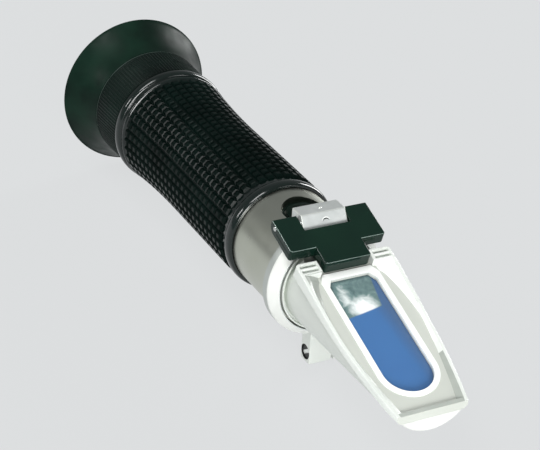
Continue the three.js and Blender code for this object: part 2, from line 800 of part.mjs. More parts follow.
function daylightPlate() {
  const top = plateUnderside + plateThickness;
  const sink = top - plateThickness / 2;
  const railTop = top + railHeight;
  const earTop = top + earHeight;
  const [padFront] = padEdge(1);
  const width = tubeRadius * 2;
  const railFall = across([[plateShoulder, sink], [plateShoulder, earTop],
    [plateShoulder * railDropShare, railTop], [0, railTop], [0, sink]], -width, width);
  const padFall = across([[plateShoulder, sink], [plateShoulder, earTop - padDrop], [padFront, top],
    [padFront, sink]], -width, width);
  const pieces = [standing(plateBase(), plateUnderside, top)];
  for (const side of [-1, 1]) {
    const rail = [...plateSide(0), ...plateSide(railWidth).reverse()].map(([x, y]) => [x, side * y]);
    pieces.push(common(standing(rail, sink, earTop), railFall));
    const pad = [...padShares.map(padEdge), [padFront, plateHalfWidth(padFront) - railWidth / 2],
      ...plateSide(railWidth / 2).filter(([x]) => x < padFront), [plateShoulder, padInnerRear]];
    pieces.push(common(standing(pad.map(([x, y]) => [x, side * y]), sink, earTop), padFall));
    pieces.push(...plateEar(side, earTop));
  }
  pieces.push(block(-noseLipWidth, 0, -plateNoseHalfWidth, plateNoseHalfWidth, sink, railTop));
  const frame = cut(standing(plateFrame(frameWidth), sink, top + frameHeight),
    standing(plateFrame(0), plateUnderside - plateThickness, top + plateThickness));
  pieces.push(frame);
  const beyondNose = block(0, overallLength, -tubeRadius, tubeRadius, -overallLength, overallLength);
  return cut(onSlope(joined(...pieces)), beyondNose);
}

function hingeBlock() {
  const start = Math.asin((blockTop - pinAboveFace) / hingeRound);
  const hook = arc(pinInFace, pinAboveFace, hingeRound, Math.PI - start, (3 * Math.PI) / 2, hookSteps);
  const arms = onSlope(across([
    [blockFront, blockTop],
    ...hook,
    [blockFront, pinAboveFace - hingeRound],
  ], -blockHalfWidth, blockHalfWidth));
  const tongue = onSlope(block(blockFront - plateThickness, pinInFace + tongueReach,
    -tongueHalfWidth, tongueHalfWidth, plateUnderside + plateThickness + seatGap, blockTop));
  const far = overallLength;
  const knuckleGap = onSlope(block(-far, webRear, -armInner, armInner, -far, far));
  const ringClear = turned([[collarRear - seatGap * 2, 0], [collarRear - seatGap * 2, collarRadius + seatGap],
    [collarFront + seatGap, collarRadius + seatGap], [collarFront + seatGap, 0]], fineSegments);
  const middle = block(-far, 0, -armInner + seatGap, armInner - seatGap, -far, far);
  const boss = rodAcross(hingeRound, -far, far, hingeStation, hingeHeight);
  const flangeClear = turned([
    [collarRear - seatGap, 0],
    [collarRear - seatGap, collarBore + seatGap],
    [barrelFront + seatGap, collarBore + seatGap],
    [barrelFront + seatGap, flangeRadius + seatGap * 2],
    [collarFront + seatGap * 2, flangeRadius + seatGap * 2],
    [collarFront + seatGap * 2, 0],
  ], fineSegments);
  const pinHole = rodAcross(pinRadius + sleeveGap / 2, -far, far, hingeStation, hingeHeight);
  return cut(joined(arms, tongue), knuckleGap, cut(ringClear, middle, boss), flangeClear, pinHole);
}

function hingePin() {
  const half = blockHalfWidth + pinProud;
  return rodAcross(pinRadius, -half, half, hingeStation, hingeHeight);
}

function reticle() {
  const rear = reticleShoulder - shoulderWidth - sleeveGap;
  return turned([[rear - reticleThickness, 0], [rear - reticleThickness, barrelBore - sleeveGap],
    [rear, barrelBore - sleeveGap], [rear, 0]]);
}

function reticleRetainer() {
  const front = reticleShoulder - shoulderWidth - sleeveGap * 2 - reticleThickness;
  return tube(front, front - retainerWidth, barrelBore - sleeveGap,
    barrelBore - sleeveGap - shoulderHeight);
}

function named(name, geometry, material) {
  const mesh = new THREE.Mesh(weld(geometry), material);
  mesh.name = name;
  return mesh;
}

function flap() {
  const group = new THREE.Group();
  group.add(named('daylight_plate', daylightPlate(), colours.clearPlastic));
  group.add(named('hinge_block', hingeBlock(), colours.blackPlastic));
  group.add(named('hinge_pin', hingePin(), colours.steel));
  return group;
}

function eyepiece() {
  const group = new THREE.Group();
  const rim = lensEdge / 2 + seatGap * 2;
  const retainerFront = eyeLensStation - rim;
  group.add(named('lens_cell', lensCell(), colours.blackMetal));
  const fieldLens = lens(fieldLensStation, eyepieceLensRadius, lensEdge, lensBulge);
  const spacer = tube(fieldLensStation - rim, eyeLensStation + rim, eyepieceLensRadius,
    eyepieceLensRadius - spacerWall);
  const eyeLens = lens(eyeLensStation, eyepieceLensRadius, lensEdge, lensBulge);
  const retainer = tube(retainerFront, retainerFront - retainerWidth, eyepieceLensRadius,
    eyepieceLensRadius - retainerWall);
  group.add(named('field_lens', fieldLens, colours.lensGlass));
  group.add(named('lens_spacer', spacer, colours.blackMetal));
  group.add(named('eye_lens', eyeLens, colours.lensGlass));
  group.add(named('eyepiece_retainer', retainer, colours.blackMetal));
  group.add(named('focus_ring', focusRing(), colours.blackRubber));
  group.add(named('eyecup', eyecup(), colours.blackRubber));
  return group;
}

function barrel() {
  const group = new THREE.Group();
  group.add(named('barrel_tube', barrelTube(), colours.silver));
  group.add(named('grip_sleeve', gripSleeve(), colours.blackRubber));
  group.add(named('guide_key', keyBlock(0), colours.steel));
  const stop = tube(stopStation, stopStation - stopThickness, barrelBore - sleeveGap,
    barrelBore - stopHeight);
  group.add(named('stray_light_stop', stop, colours.blackMetal));
  group.add(named('reticle', reticle(), colours.lensGlass));
  group.add(named('reticle_retainer', reticleRetainer(), colours.brass));
  group.add(named('calibration_screw', calibrationScrew(), colours.brass));
  group.add(named('calibration_cap', calibrationCap(), colours.blackRubber));
  group.add(named('objective_cell', objectiveCell(), colours.blackMetal));
  const objectiveLens = lens(objectiveLensStation, objectiveBore - sleeveGap, lensEdge, lensBulge);
  group.add(named('objective_lens', objectiveLens, colours.lensGlass));
  return group;
}

function head() {
  const group = new THREE.Group();
  group.add(named('hinge_collar', hingeCollar(), colours.silver));
  group.add(named('clamp_screw', clampScrew(), colours.steel));
  group.add(named('prism_head', prismHead(), colours.silver));
  group.add(named('prism', prism(), colours.blueGlass));
  group.add(named('prism_gasket', prismGasket(), colours.blackRubber));
  return group;
}

const refractometer = new THREE.Group();
refractometer.add(barrel(), head(), flap(), eyepiece());
refractometer.position.set(overallLength / 2, 0, lugDrop);

export default refractometer;
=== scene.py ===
"""Dresses a packed handheld refractometer and sets it in a plain pale studio."""

import json
import logging
import math
from dataclasses import dataclass, replace
from enum import Enum
from typing import Any, Callable, Iterable, Sequence

import bmesh
import bpy
from mathutils import Matrix, Vector

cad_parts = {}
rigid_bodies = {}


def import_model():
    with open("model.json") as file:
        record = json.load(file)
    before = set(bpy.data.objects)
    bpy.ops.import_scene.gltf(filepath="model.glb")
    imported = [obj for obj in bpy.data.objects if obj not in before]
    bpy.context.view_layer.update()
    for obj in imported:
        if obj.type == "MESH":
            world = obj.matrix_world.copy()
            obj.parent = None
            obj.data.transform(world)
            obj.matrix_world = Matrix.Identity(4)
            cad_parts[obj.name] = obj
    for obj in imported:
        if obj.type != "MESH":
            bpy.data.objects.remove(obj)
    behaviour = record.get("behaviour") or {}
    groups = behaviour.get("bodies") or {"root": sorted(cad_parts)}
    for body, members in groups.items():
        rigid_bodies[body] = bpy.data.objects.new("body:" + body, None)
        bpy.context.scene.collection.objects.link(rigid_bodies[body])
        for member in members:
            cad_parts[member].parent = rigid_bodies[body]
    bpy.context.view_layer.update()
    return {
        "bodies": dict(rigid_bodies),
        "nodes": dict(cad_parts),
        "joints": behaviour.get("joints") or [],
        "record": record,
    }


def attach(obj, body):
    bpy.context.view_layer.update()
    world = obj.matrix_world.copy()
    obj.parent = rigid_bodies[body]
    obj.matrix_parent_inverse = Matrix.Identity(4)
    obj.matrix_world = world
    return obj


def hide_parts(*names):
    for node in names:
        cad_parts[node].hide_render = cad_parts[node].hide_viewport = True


LOG = logging.getLogger("refractometer")

Point = tuple[float, float]
Place = tuple[float, float, float]
Edge = bmesh.types.BMEdge
Face = bmesh.types.BMFace
Socket = bpy.types.NodeSocket
EdgeTest = Callable[[Edge], bool]
FaceTest = Callable[[Face], bool]

# One millimetre in scene units, and the middle of the nose in the row frame.
MM = 0.001
NOSE = Vector((0.0842, 0.0, 0.0228))

# Corners closer than this count as one, and faces closer to one plane than this angle are joined.
MERGE = 0.0005
FLAT = math.radians(0.05)

# Direction in which corners are put in order, so that a shape comes out the same each time.
ORDER = Vector((1.0, 0.618034, 0.414214))

# Steps round a full turn for large, middling and small turned shapes.
FINE_STEPS = 128
PLAIN_STEPS = 64
SMALL_STEPS = 32


class Plane(Enum):
    """Plane that an outline is drawn in before it is drawn out to a slab."""

    FLAT = "xy"
    SIDE = "xz"


class Join(Enum):
    """Ways in which one solid can be combined with another."""

    ADD = "UNION"
    CUT = "DIFFERENCE"


class Slot(Enum):
    """Material slots of the record, one named with each new piece."""

    RUBBER = "black_rubber"
    BLACK_PLASTIC = "black_plastic"
    SILVER = "silver_metal"
    STEEL = "bright_steel"
    BLACK_METAL = "black_metal"
    CLEAR = "clear_plastic"
    BLUE_GLASS = "blue_glass"
    LENS = "lens_glass"


class Body(Enum):
    """Moving bodies that carry new pieces."""

    BARREL = "barrel"
    FLAP = "flap"
    CAP = "calibration_cap"
    EYEPIECE = "eyepiece"
    FOCUSING = "focusing"


@dataclass(frozen=True)
class Layout:
    """Main sizes that several pieces share, in millimetres from the middle of the nose."""

    tube: float = 13.8
    collar_front: float = -49.2
    collar_rear: float = -54.1
    collar_radius: float = 15.4
    pin_x: float = -54.4
    pin_z: float = 14.8
    pin_radius: float = 0.65
    chord_drop: float = 7.0875
    pin_above_face: float = 4.0
    hinge_round: float = 2.2
    knuckle_half: float = 6.1
    web_reach: float = 2.85
    lug_drop: float = 22.8
    gap: float = 0.3

    @property
    def tilt(self) -> float:
        """Tilt of the sloping face."""
        rise = self.pin_z + self.chord_drop
        return math.acos(self.pin_above_face / math.hypot(self.pin_x, rise)) + math.atan2(self.pin_x, rise)

    @property
    def pin_in_face(self) -> float:
        """Place of the hinge pin along the sloping face."""
        rise = self.pin_z + self.chord_drop
        return self.pin_x * math.cos(self.tilt) - rise * math.sin(self.tilt)

    def slope(self) -> Matrix:
        """Finds how a shape drawn on the sloping face gets to its place on the head."""
        return Matrix.Translation((0, 0, -self.chord_drop)) @ Matrix.Rotation(self.tilt, 4, "Y")

    def row(self) -> Matrix:
        """Finds how a shape gets into the row frame."""
        return Matrix.Translation(NOSE) @ Matrix.Scale(MM, 4)


LAYOUT = Layout()


def linear(code: str) -> tuple[float, float, float, float]:
    """Turns an sRGB hex colour into the linear values that a shader takes.

    Args:
        code: Six hex digits, with or without a leading mark.

    Returns:
        Red, green, blue and an alpha of one.
    """
    digits = code.lstrip("#")
    values = [int(digits[i : i + 2], 16) / 255 for i in (0, 2, 4)]
    red, green, blue = [v / 12.92 if v <= 0.04045 else ((v + 0.055) / 1.055) ** 2.4 for v in values]
    return (red, green, blue, 1.0)


def frequency(millimetres: float) -> float:
    """Finds the scale of a pattern for coordinates in metres."""
    return 1.0 / (millimetres * MM)


class Graph:
    """Node tree of a material or of the surround, built from nothing."""

    def __init__(self, owner: bpy.types.Material | bpy.types.World) -> None:
        """Empties the owner's node tree.

        Args:
            owner: What the tree belongs to.
        """
        owner.use_nodes = True
        self.tree = owner.node_tree
        self.tree.nodes.clear()

    def add(self, kind: str, inputs: dict[Any, Any] | None = None, **settings: Any) -> bpy.types.Node:
        """Adds a node with its settings, its plain values and its links.

        Args:
            kind: Kind of node, without the word that all shader nodes share.
            inputs: Values or output sockets, by the name or number of the input.
            settings: Properties of the node itself.

        Returns:
            The new node.
        """
        node = self.tree.nodes.new("ShaderNode" + kind)
        for key, value in settings.items():
            setattr(node, key, value)
        for key, value in (inputs or {}).items():
            if isinstance(value, Socket):
                self.tree.links.new(value, node.inputs[key])
            else:
                node.inputs[key].default_value = value
        return node

    def sum(self, operation: str, *values: Any) -> Socket:
        """Adds a sum with two or three numbers."""
        return self.add("Math", dict(enumerate(values)), operation=operation).outputs[0]

    def noise(self, place: Socket, scale: float, detail: float, distortion: float = 0.0) -> Socket:
        """Adds a soft random pattern."""
        inputs = {"Vector": place, "Scale": scale, "Detail": detail, "Distortion": distortion}
        return self.add("TexNoise", inputs).outputs["Fac"]

    def stretched(self, value: Socket, low: float, high: float, to: Point = (0.0, 1.0)) -> Socket:
        """Takes one range of numbers to another and holds it at the ends."""
        inputs = {"Value": value, "From Min": low, "From Max": high, "To Min": to[0], "To Max": to[1]}
        return self.add("MapRange", inputs).outputs["Result"]

    def ramp(self, value: Socket, stops: Sequence[tuple[float, str]]) -> Socket:
        """Colours a number by a row of colours.

        Args:
            value: Output with the number.
            stops: Two or three numbers in rising order, each with its colour.

        Returns:
            Output with the colour.
        """
        node = self.add("ValToRGB", {"Fac": value})
        elements = node.color_ramp.elements
        for _ in stops[2:]:
            elements.new(0.5)
        for element, (position, colour) in zip(elements, stops):
            element.position = position
            element.color = linear(colour)
        return node.outputs["Color"]

    def mixed(self, share: Socket, first: Any, second: Any) -> Socket:
        """Mixes two colours."""
        inputs = {"Factor": share, "A": first, "B": second}
        return self.add("Mix", inputs, data_type="RGBA").outputs["Result"]

    def bump(self, height: Socket, depth: float, normal: Socket | None = None) -> Socket:
        """Bends the surface's normal by a pattern.

        Args:
            height: Output with the pattern.
            depth: Depth of the relief, in millimetres.
            normal: Output with a normal that is bent already.

        Returns:
            Output with the bent normal.
        """
        inputs = {"Height": height, "Distance": depth * MM, "Strength": 1.0}
        if normal is not None:
            inputs["Normal"] = normal
        return self.add("Bump", inputs).outputs["Normal"]


@dataclass(frozen=True)
class Finish:
    """A surface finish built from nodes that read Object coordinates."""

    name: str
    colour: str
    second: str
    roughness: float
    metallic: float = 0.0
    ior: float = 1.5
    alpha: float = 1.0
    specular: float = 0.5
    blotch_mm: float = 14.0
    blotch_share: float = 0.5
    spread: float = 0.08
    grain_mm: float = 0.3
    grain_depth: float = 0.01
    rings_mm: float = 0.0
    rings_depth: float = 0.0

    def tint(self, graph: Graph, place: Socket) -> Socket:
        """Mixes the finish's two colours in soft blotches.

        Args:
            graph: Node tree of the material.
            place: Output that holds the Object coordinates.

        Returns:
            Output with the colour.
        """
        noise = graph.noise(place, frequency(self.blotch_mm), 3.0)
        low, high = 0.5 - self.blotch_share / 2, 0.5 + self.blotch_share / 2
        return graph.ramp(noise, [(low, self.second), (high, self.colour)])

    def relief(self, graph: Graph, place: Socket) -> Socket:
        """Builds the surface's grain and turning rings as bumps.

        Args:
            graph: Node tree of the material.
            place: Output that holds the Object coordinates.

        Returns:
            Output with the bent normal.
        """
        normal = graph.bump(graph.noise(place, frequency(self.grain_mm), 2.0), self.grain_depth)
        if self.rings_mm > 0:
            scale = frequency(self.rings_mm) / 20
            inputs = {"Vector": place, "Scale": scale, "Distortion": 0.4, "Detail": 1.0}
            rings = graph.add("TexWave", inputs, wave_type="BANDS", bands_direction="X")
            normal = graph.bump(rings.outputs["Fac"], self.rings_depth, normal)
        return normal

    def build(self) -> bpy.types.Material:
        """Makes the material, or returns the one made before.

        Returns:
            The finished material.
        """
        if self.name in bpy.data.materials:
            return bpy.data.materials[self.name]
        material = bpy.data.materials.new(self.name)
        graph = Graph(material)
        place = graph.add("TexCoord").outputs["Object"]
        wander = graph.noise(place, frequency(self.blotch_mm / 3), 4.0)
        roughness = (max(0.02, self.roughness - self.spread), self.roughness + self.spread)
        inputs = {
            "Base Color": self.tint(graph, place),
            "Roughness": graph.stretched(wander, 0.3, 0.7, roughness),
            "Normal": self.relief(graph, place),
            "Metallic": self.metallic,
            "IOR": self.ior,
            "Alpha": self.alpha,
            "Specular IOR Level": self.specular,
        }
        shader = graph.add("BsdfPrincipled", inputs)
        graph.add("OutputMaterial", {"Surface": shader.outputs["BSDF"]})
        return material


@dataclass(frozen=True)
class PrismGlass(Finish):
    """Glass of the prism, blue over most of its face, with a painted reflection at the hinge end and painted
    shade along its far side.
    """

    painted_reflection_front: float = -31.95
    front_slant: float = 0.17
    painted_reflection_side: float = -0.974
    side_slant: float = 0.16
    painted_reflection: str = "#6b8583"
    painted_reflection_dark: str = "#4d6667"
    painted_reflection_light: str = "#eef3f1"
    far_side_shade: str = "#3f5f88"
    ovals: tuple[tuple[Point, Point, float], ...] = (
        ((-33.4, -0.2), (4.4, 5.2), 1.0),
        ((-37.2, -3.4), (4.6, 2.4), 0.55),
    )

    def past(self, graph: Graph, lead: Socket, other: Socket, limit: float, slant: float) -> Socket:
        """Goes from zero at a slanting edge to one just inside it."""
        drop = graph.sum("MULTIPLY_ADD", other, slant, lead)
        return graph.stretched(drop, limit + 0.12, limit - 0.25)

    def spot(self, graph: Graph, place: Socket, middle: Point, reach: Point, strength: float) -> Socket:
        """Builds one soft oval that is brightest in its middle.

        Args:
            graph: Node tree of the material.
            place: Output with the place on the sloping face.
            middle: Middle of the oval.
            reach: Its half-lengths along and across the face.
            strength: Brightness in the middle.

        Returns:
            Output that falls from the strength in the middle to zero at the rim.
        """
        scale = (1 / reach[0], 1 / reach[1], 0.01)
        shift = (-middle[0] / reach[0], -middle[1] / reach[1], 0.0)
        local = graph.add("Mapping", {"Vector": place, "Location": shift, "Scale": scale})
        ball = {"Vector": local.outputs["Vector"]}
        oval = graph.add("TexGradient", ball, gradient_type="SPHERICAL")
        return graph.sum("MULTIPLY", oval.outputs["Fac"], strength)

    def tint(self, graph: Graph, place: Socket) -> Socket:
        """Colours the glass blue, with painted shade towards its far side and a clouded painted reflection at
        the hinge end.

        Args:
            graph: Node tree of the material.
            place: Output that holds the Object coordinates.

        Returns:
            Output with the colour.
        """
        inverse = (LAYOUT.row() @ LAYOUT.slope()).inverted()
        inputs = {"Vector": place, "Location": inverse.translation, "Rotation": inverse.to_euler()}
        inputs["Scale"] = (1 / MM, 1 / MM, 1 / MM)
        in_face = graph.add("Mapping", inputs, vector_type="POINT").outputs["Vector"]
        parts = graph.add("SeparateXYZ", {"Vector": in_face})
        along, side = parts.outputs["X"], parts.outputs["Y"]
        # Painted shade: the blue darkens towards the far side of the face.
        shade = graph.stretched(graph.sum("MULTIPLY_ADD", along, -0.085, side), 4.6, 8.0)
        blue = graph.mixed(shade, super().tint(graph, place), linear(self.far_side_shade))
        # Painted reflection: a clouded pale patch at the hinge end stands for the light that the glass
        # mirrors there.
        before = self.past(graph, along, side, self.painted_reflection_front, self.front_slant)
        beside = self.past(graph, side, along, self.painted_reflection_side, self.side_slant)
        cloud = graph.noise(in_face, 0.4, 3.0, 1.2)
        large, small = (self.spot(graph, in_face, *oval) for oval in self.ovals)
        lit = graph.sum("MULTIPLY_ADD", cloud, 0.75, graph.sum("MAXIMUM", large, small))
        mirrored = graph.ramp(lit, [(0.22, self.painted_reflection_dark), (0.5, self.painted_reflection), (0.98, self.painted_reflection_light)])
        return graph.mixed(graph.sum("MULTIPLY", before, beside), blue, mirrored)


# Moulded nitrile rubber: near black with a green cast and a small wet glint on its facets.
GRIP_RUBBER = Finish("moulded_grip_rubber", "#0b1916", "#040b09", 0.2, specular=0.06, grain_mm=0.35)
# The same rubber where hands have polished it: the rolled lip and the bead carry a crisp highlight.
LIP_RUBBER = Finish(
    "hand_polished_rubber", "#0a1815", "#06100e", 0.13, specular=0.6, spread=0.03,
    grain_mm=0.5, grain_depth=0.004,
)
# The same rubber from a smoother mould: a duller skin, clouded by handling.
CUP_RUBBER = Finish(
    "moulded_cup_rubber", "#13281f", "#08120f", 0.36, specular=0.06, blotch_mm=11.0, blotch_share=0.4,
    grain_mm=0.25, grain_depth=0.006,
)
# Painted highlight: a pale line painted on the rubber along the ring's rear edge beside the cup.
HIGHLIGHT_RUBBER = Finish(
    "painted_highlight_rubber_edge", "#5f6d68", "#35423d", 0.45, specular=0.4, blotch_mm=6.0, grain_mm=0.2
)
# Fine checkered rubber: the little checks scatter the light and leave dark lines between them.
KNURL_RUBBER = Finish(
    "checkered_rubber", "#12211c", "#060e0c", 0.3, specular=0.16, grain_mm=0.2, grain_depth=0.004
)
# Anodised turned aluminium: a grey beige satin with very fine rings from the lathe.
BARREL_ALUMINIUM = Finish(
    "anodised_turned_aluminium", "#c8cbc1", "#b7baad", 0.3, metallic=1.0, blotch_mm=18.0, spread=0.03,
    grain_mm=0.25, grain_depth=0.003, rings_mm=0.35, rings_depth=0.0015,
)
# Bright satin nickel of the head: nearly white where it faces the light, grey where it turns away.
# On the collar's rear edge, rounded edges and lug, and on the knuckle's dot, the same nickel stands as a
# painted highlight.
HEAD_NICKEL_AND_HIGHLIGHT = Finish(
    "satin_nickel_head_and_highlight", "#e2e6e0", "#dadfd8", 0.36, metallic=0.55, blotch_mm=20.0, spread=0.03,
    grain_mm=0.25, grain_depth=0.003,
)
# Painted highlight: a brighter, less metallic copy of the head's nickel for the nose and the collar's front
# slope, almost white in the light.
PAINTED_LIGHT_NICKEL = Finish(
    "painted_highlight_nickel", "#e4e6e2", "#dadcd7", 0.4, metallic=0.15, blotch_mm=6.0, spread=0.04,
    grain_mm=0.25, grain_depth=0.003,
)
# Die-cast zinc with a silver satin coat: bright, cool and slightly mottled.
CAST_SILVER = Finish(
    "silver_coated_die_casting", "#e0e4e2", "#d4d9d7", 0.4, metallic=0.65, blotch_mm=5.0, spread=0.05,
    grain_mm=0.22, grain_depth=0.006,
)
# Painted shade on the collar's turned outer band: a darker satin grey copy of the casting's silver, between
# the barrel's beige and the brighter slope.
SHADED_BAND_SILVER = Finish(
    "painted_shade_collar_band", "#c3c8c4", "#babfbb", 0.38, metallic=0.8, blotch_mm=9.0, spread=0.04,
    grain_mm=0.25, grain_depth=0.003,
)
# Acetal moulding: deep glossy green black with a trace of orange peel.
HINGE_ACETAL = Finish(
    "polished_black_acetal", "#11291f", "#0e211b", 0.12, specular=0.2, spread=0.04,
    grain_mm=2.5, grain_depth=0.008,
)
# Painted highlight on the acetal: a narrow pale glint painted along each rounded front edge.
GLINT_ACETAL = Finish(
    "painted_glint_acetal_edge", "#7d8f88", "#3d4c47", 0.2, blotch_mm=5.0, grain_mm=0.8, grain_depth=0.004
)
# Clear acrylic floor of the daylight plate, which shows the pale face of the head below it.
CLEAR_ACRYLIC = Finish(
    "clear_moulded_acrylic", "#d0d4cc", "#c9cdc5", 0.14, ior=1.49, alpha=0.9, specular=0.3, spread=0.03,
    grain_mm=1.5, grain_depth=0.006,
)
# Thin polished acrylic over the window: almost nothing but its gloss.
WINDOW_ACRYLIC = Finish(
    "polished_window_acrylic", "#dfe7ee", "#dfe7ee", 0.05, ior=1.49, alpha=0.02, specular=0.1, spread=0.01,
    grain_mm=3.0, grain_depth=0.002,
)
# Edge-lit acrylic: rails, ribs and borders gather light and look milky white.
EDGE_ACRYLIC = Finish(
    "edge_lit_acrylic", "#e4e8e3", "#dbe0da", 0.16, ior=1.49, alpha=0.96, specular=0.4, spread=0.05,
    grain_mm=0.8, grain_depth=0.006,
)
# The border round the window, buffed to a bright opaque white; the same white is painted light on the
# right-hand ramp and the rear part of the right rail's flank.
BORDER_AND_LIGHT_ACRYLIC = Finish(
    "white_border_and_painted_light", "#f4f6f3", "#eef1ed", 0.2, ior=1.49, specular=0.4, spread=0.04,
    grain_mm=0.8, grain_depth=0.004,
)
# Painted highlight on metal: the white of the border, on the crescent's lit rib and the floor of the screw's
# slot.
HIGHLIGHT_WHITE_METAL = replace(BORDER_AND_LIGHT_ACRYLIC, name="painted_highlight_white_metal")
# Painted shade on the plate's acrylic: the left-hand ramp, the rear slots of the ears, the line along the
# front lip and the front part of the right rail's inner flank.
SHADED_ACRYLIC = Finish(
    "shaded_acrylic", "#b0b5ae", "#a0a69f", 0.14, ior=1.49, specular=0.4, blotch_mm=6.0, spread=0.03,
    grain_mm=0.8, grain_depth=0.006,
)
# Polished optical glass that shows a clear blue by reflection from its lower face.
BLUE_GLASS = PrismGlass(
    "polished_prism_glass", "#376ba3", "#3567a0", 0.08, ior=1.52, specular=0.12, blotch_mm=9.0, spread=0.02,
    grain_mm=4.0, grain_depth=0.0,
)
# Coated optical glass of the lenses and the reticle.
LENS_GLASS = Finish(
    "coated_lens_glass", "#dfe9ec", "#cfdff0", 0.04, ior=1.52, alpha=0.35, spread=0.01,
    grain_mm=5.0, grain_depth=0.0,
)
# Dark steel of the clamping screw, painted dark as shade where it sits in its hole, with a faint sheen.
SHADED_SCREW_STEEL = Finish(
    "dark_steel_painted_shade", "#2c302d", "#171a18", 0.3, metallic=0.6, grain_mm=0.2, grain_depth=0.004
)
# Nickel-plated steel of the hinge pin and the guide key: bright, with fine scratches.
PLATED_STEEL = Finish(
    "nickel_plated_steel", "#dfe1e0", "#c6c9c7", 0.22, metallic=1.0, grain_mm=0.15, grain_depth=0.004
)
# Machined brass of the inner ring and the adjusting screw.
MACHINED_BRASS = Finish(
    "machined_brass", "#b9974f", "#a5843f", 0.3, metallic=1.0, grain_mm=0.2, grain_depth=0.003
)
# Black anodised aluminium that keeps stray light down inside the barrel.
# The same black stands as painted shade in the screw's hole in the lug and in the crescent's shaded rib.
BLACK_ANODISED_AND_SHADE = Finish(
    "black_anodised_and_painted_shade", "#1b1d1e", "#151718", 0.55, metallic=0.4, grain_mm=0.2, grain_depth=0.004
)

# Finishes of the nodes that stay as packed.
KEPT_NODES = {
    PLATED_STEEL: ("guide_key",),
    BLACK_ANODISED_AND_SHADE: ("stray_light_stop", "objective_cell", "lens_cell", "lens_spacer"),
    LENS_GLASS: ("reticle", "objective_lens", "field_lens"),
    MACHINED_BRASS: ("reticle_retainer", "calibration_screw"),
}


def arc(middle: Point, reach: Point, start: float, end: float, steps: int) -> list[Point]:
    """Draws part of an ellipse."""
    angles = [math.pi * (start + (end - start) * i / steps) for i in range(steps + 1)]
    return [(middle[0] + reach[0] * math.cos(a), middle[1] + reach[1] * math.sin(a)) for a in angles]


def on_side(side: int, x: float, corners: Sequence[Point]) -> list[Place]:
    """Stands a cross-section upright at a station."""
    return [(x, side * y, z) for y, z in corners]


def edge_middle(edge: Edge) -> Vector:
    """Finds the middle of an edge."""
    return (edge.verts[0].co + edge.verts[1].co) / 2


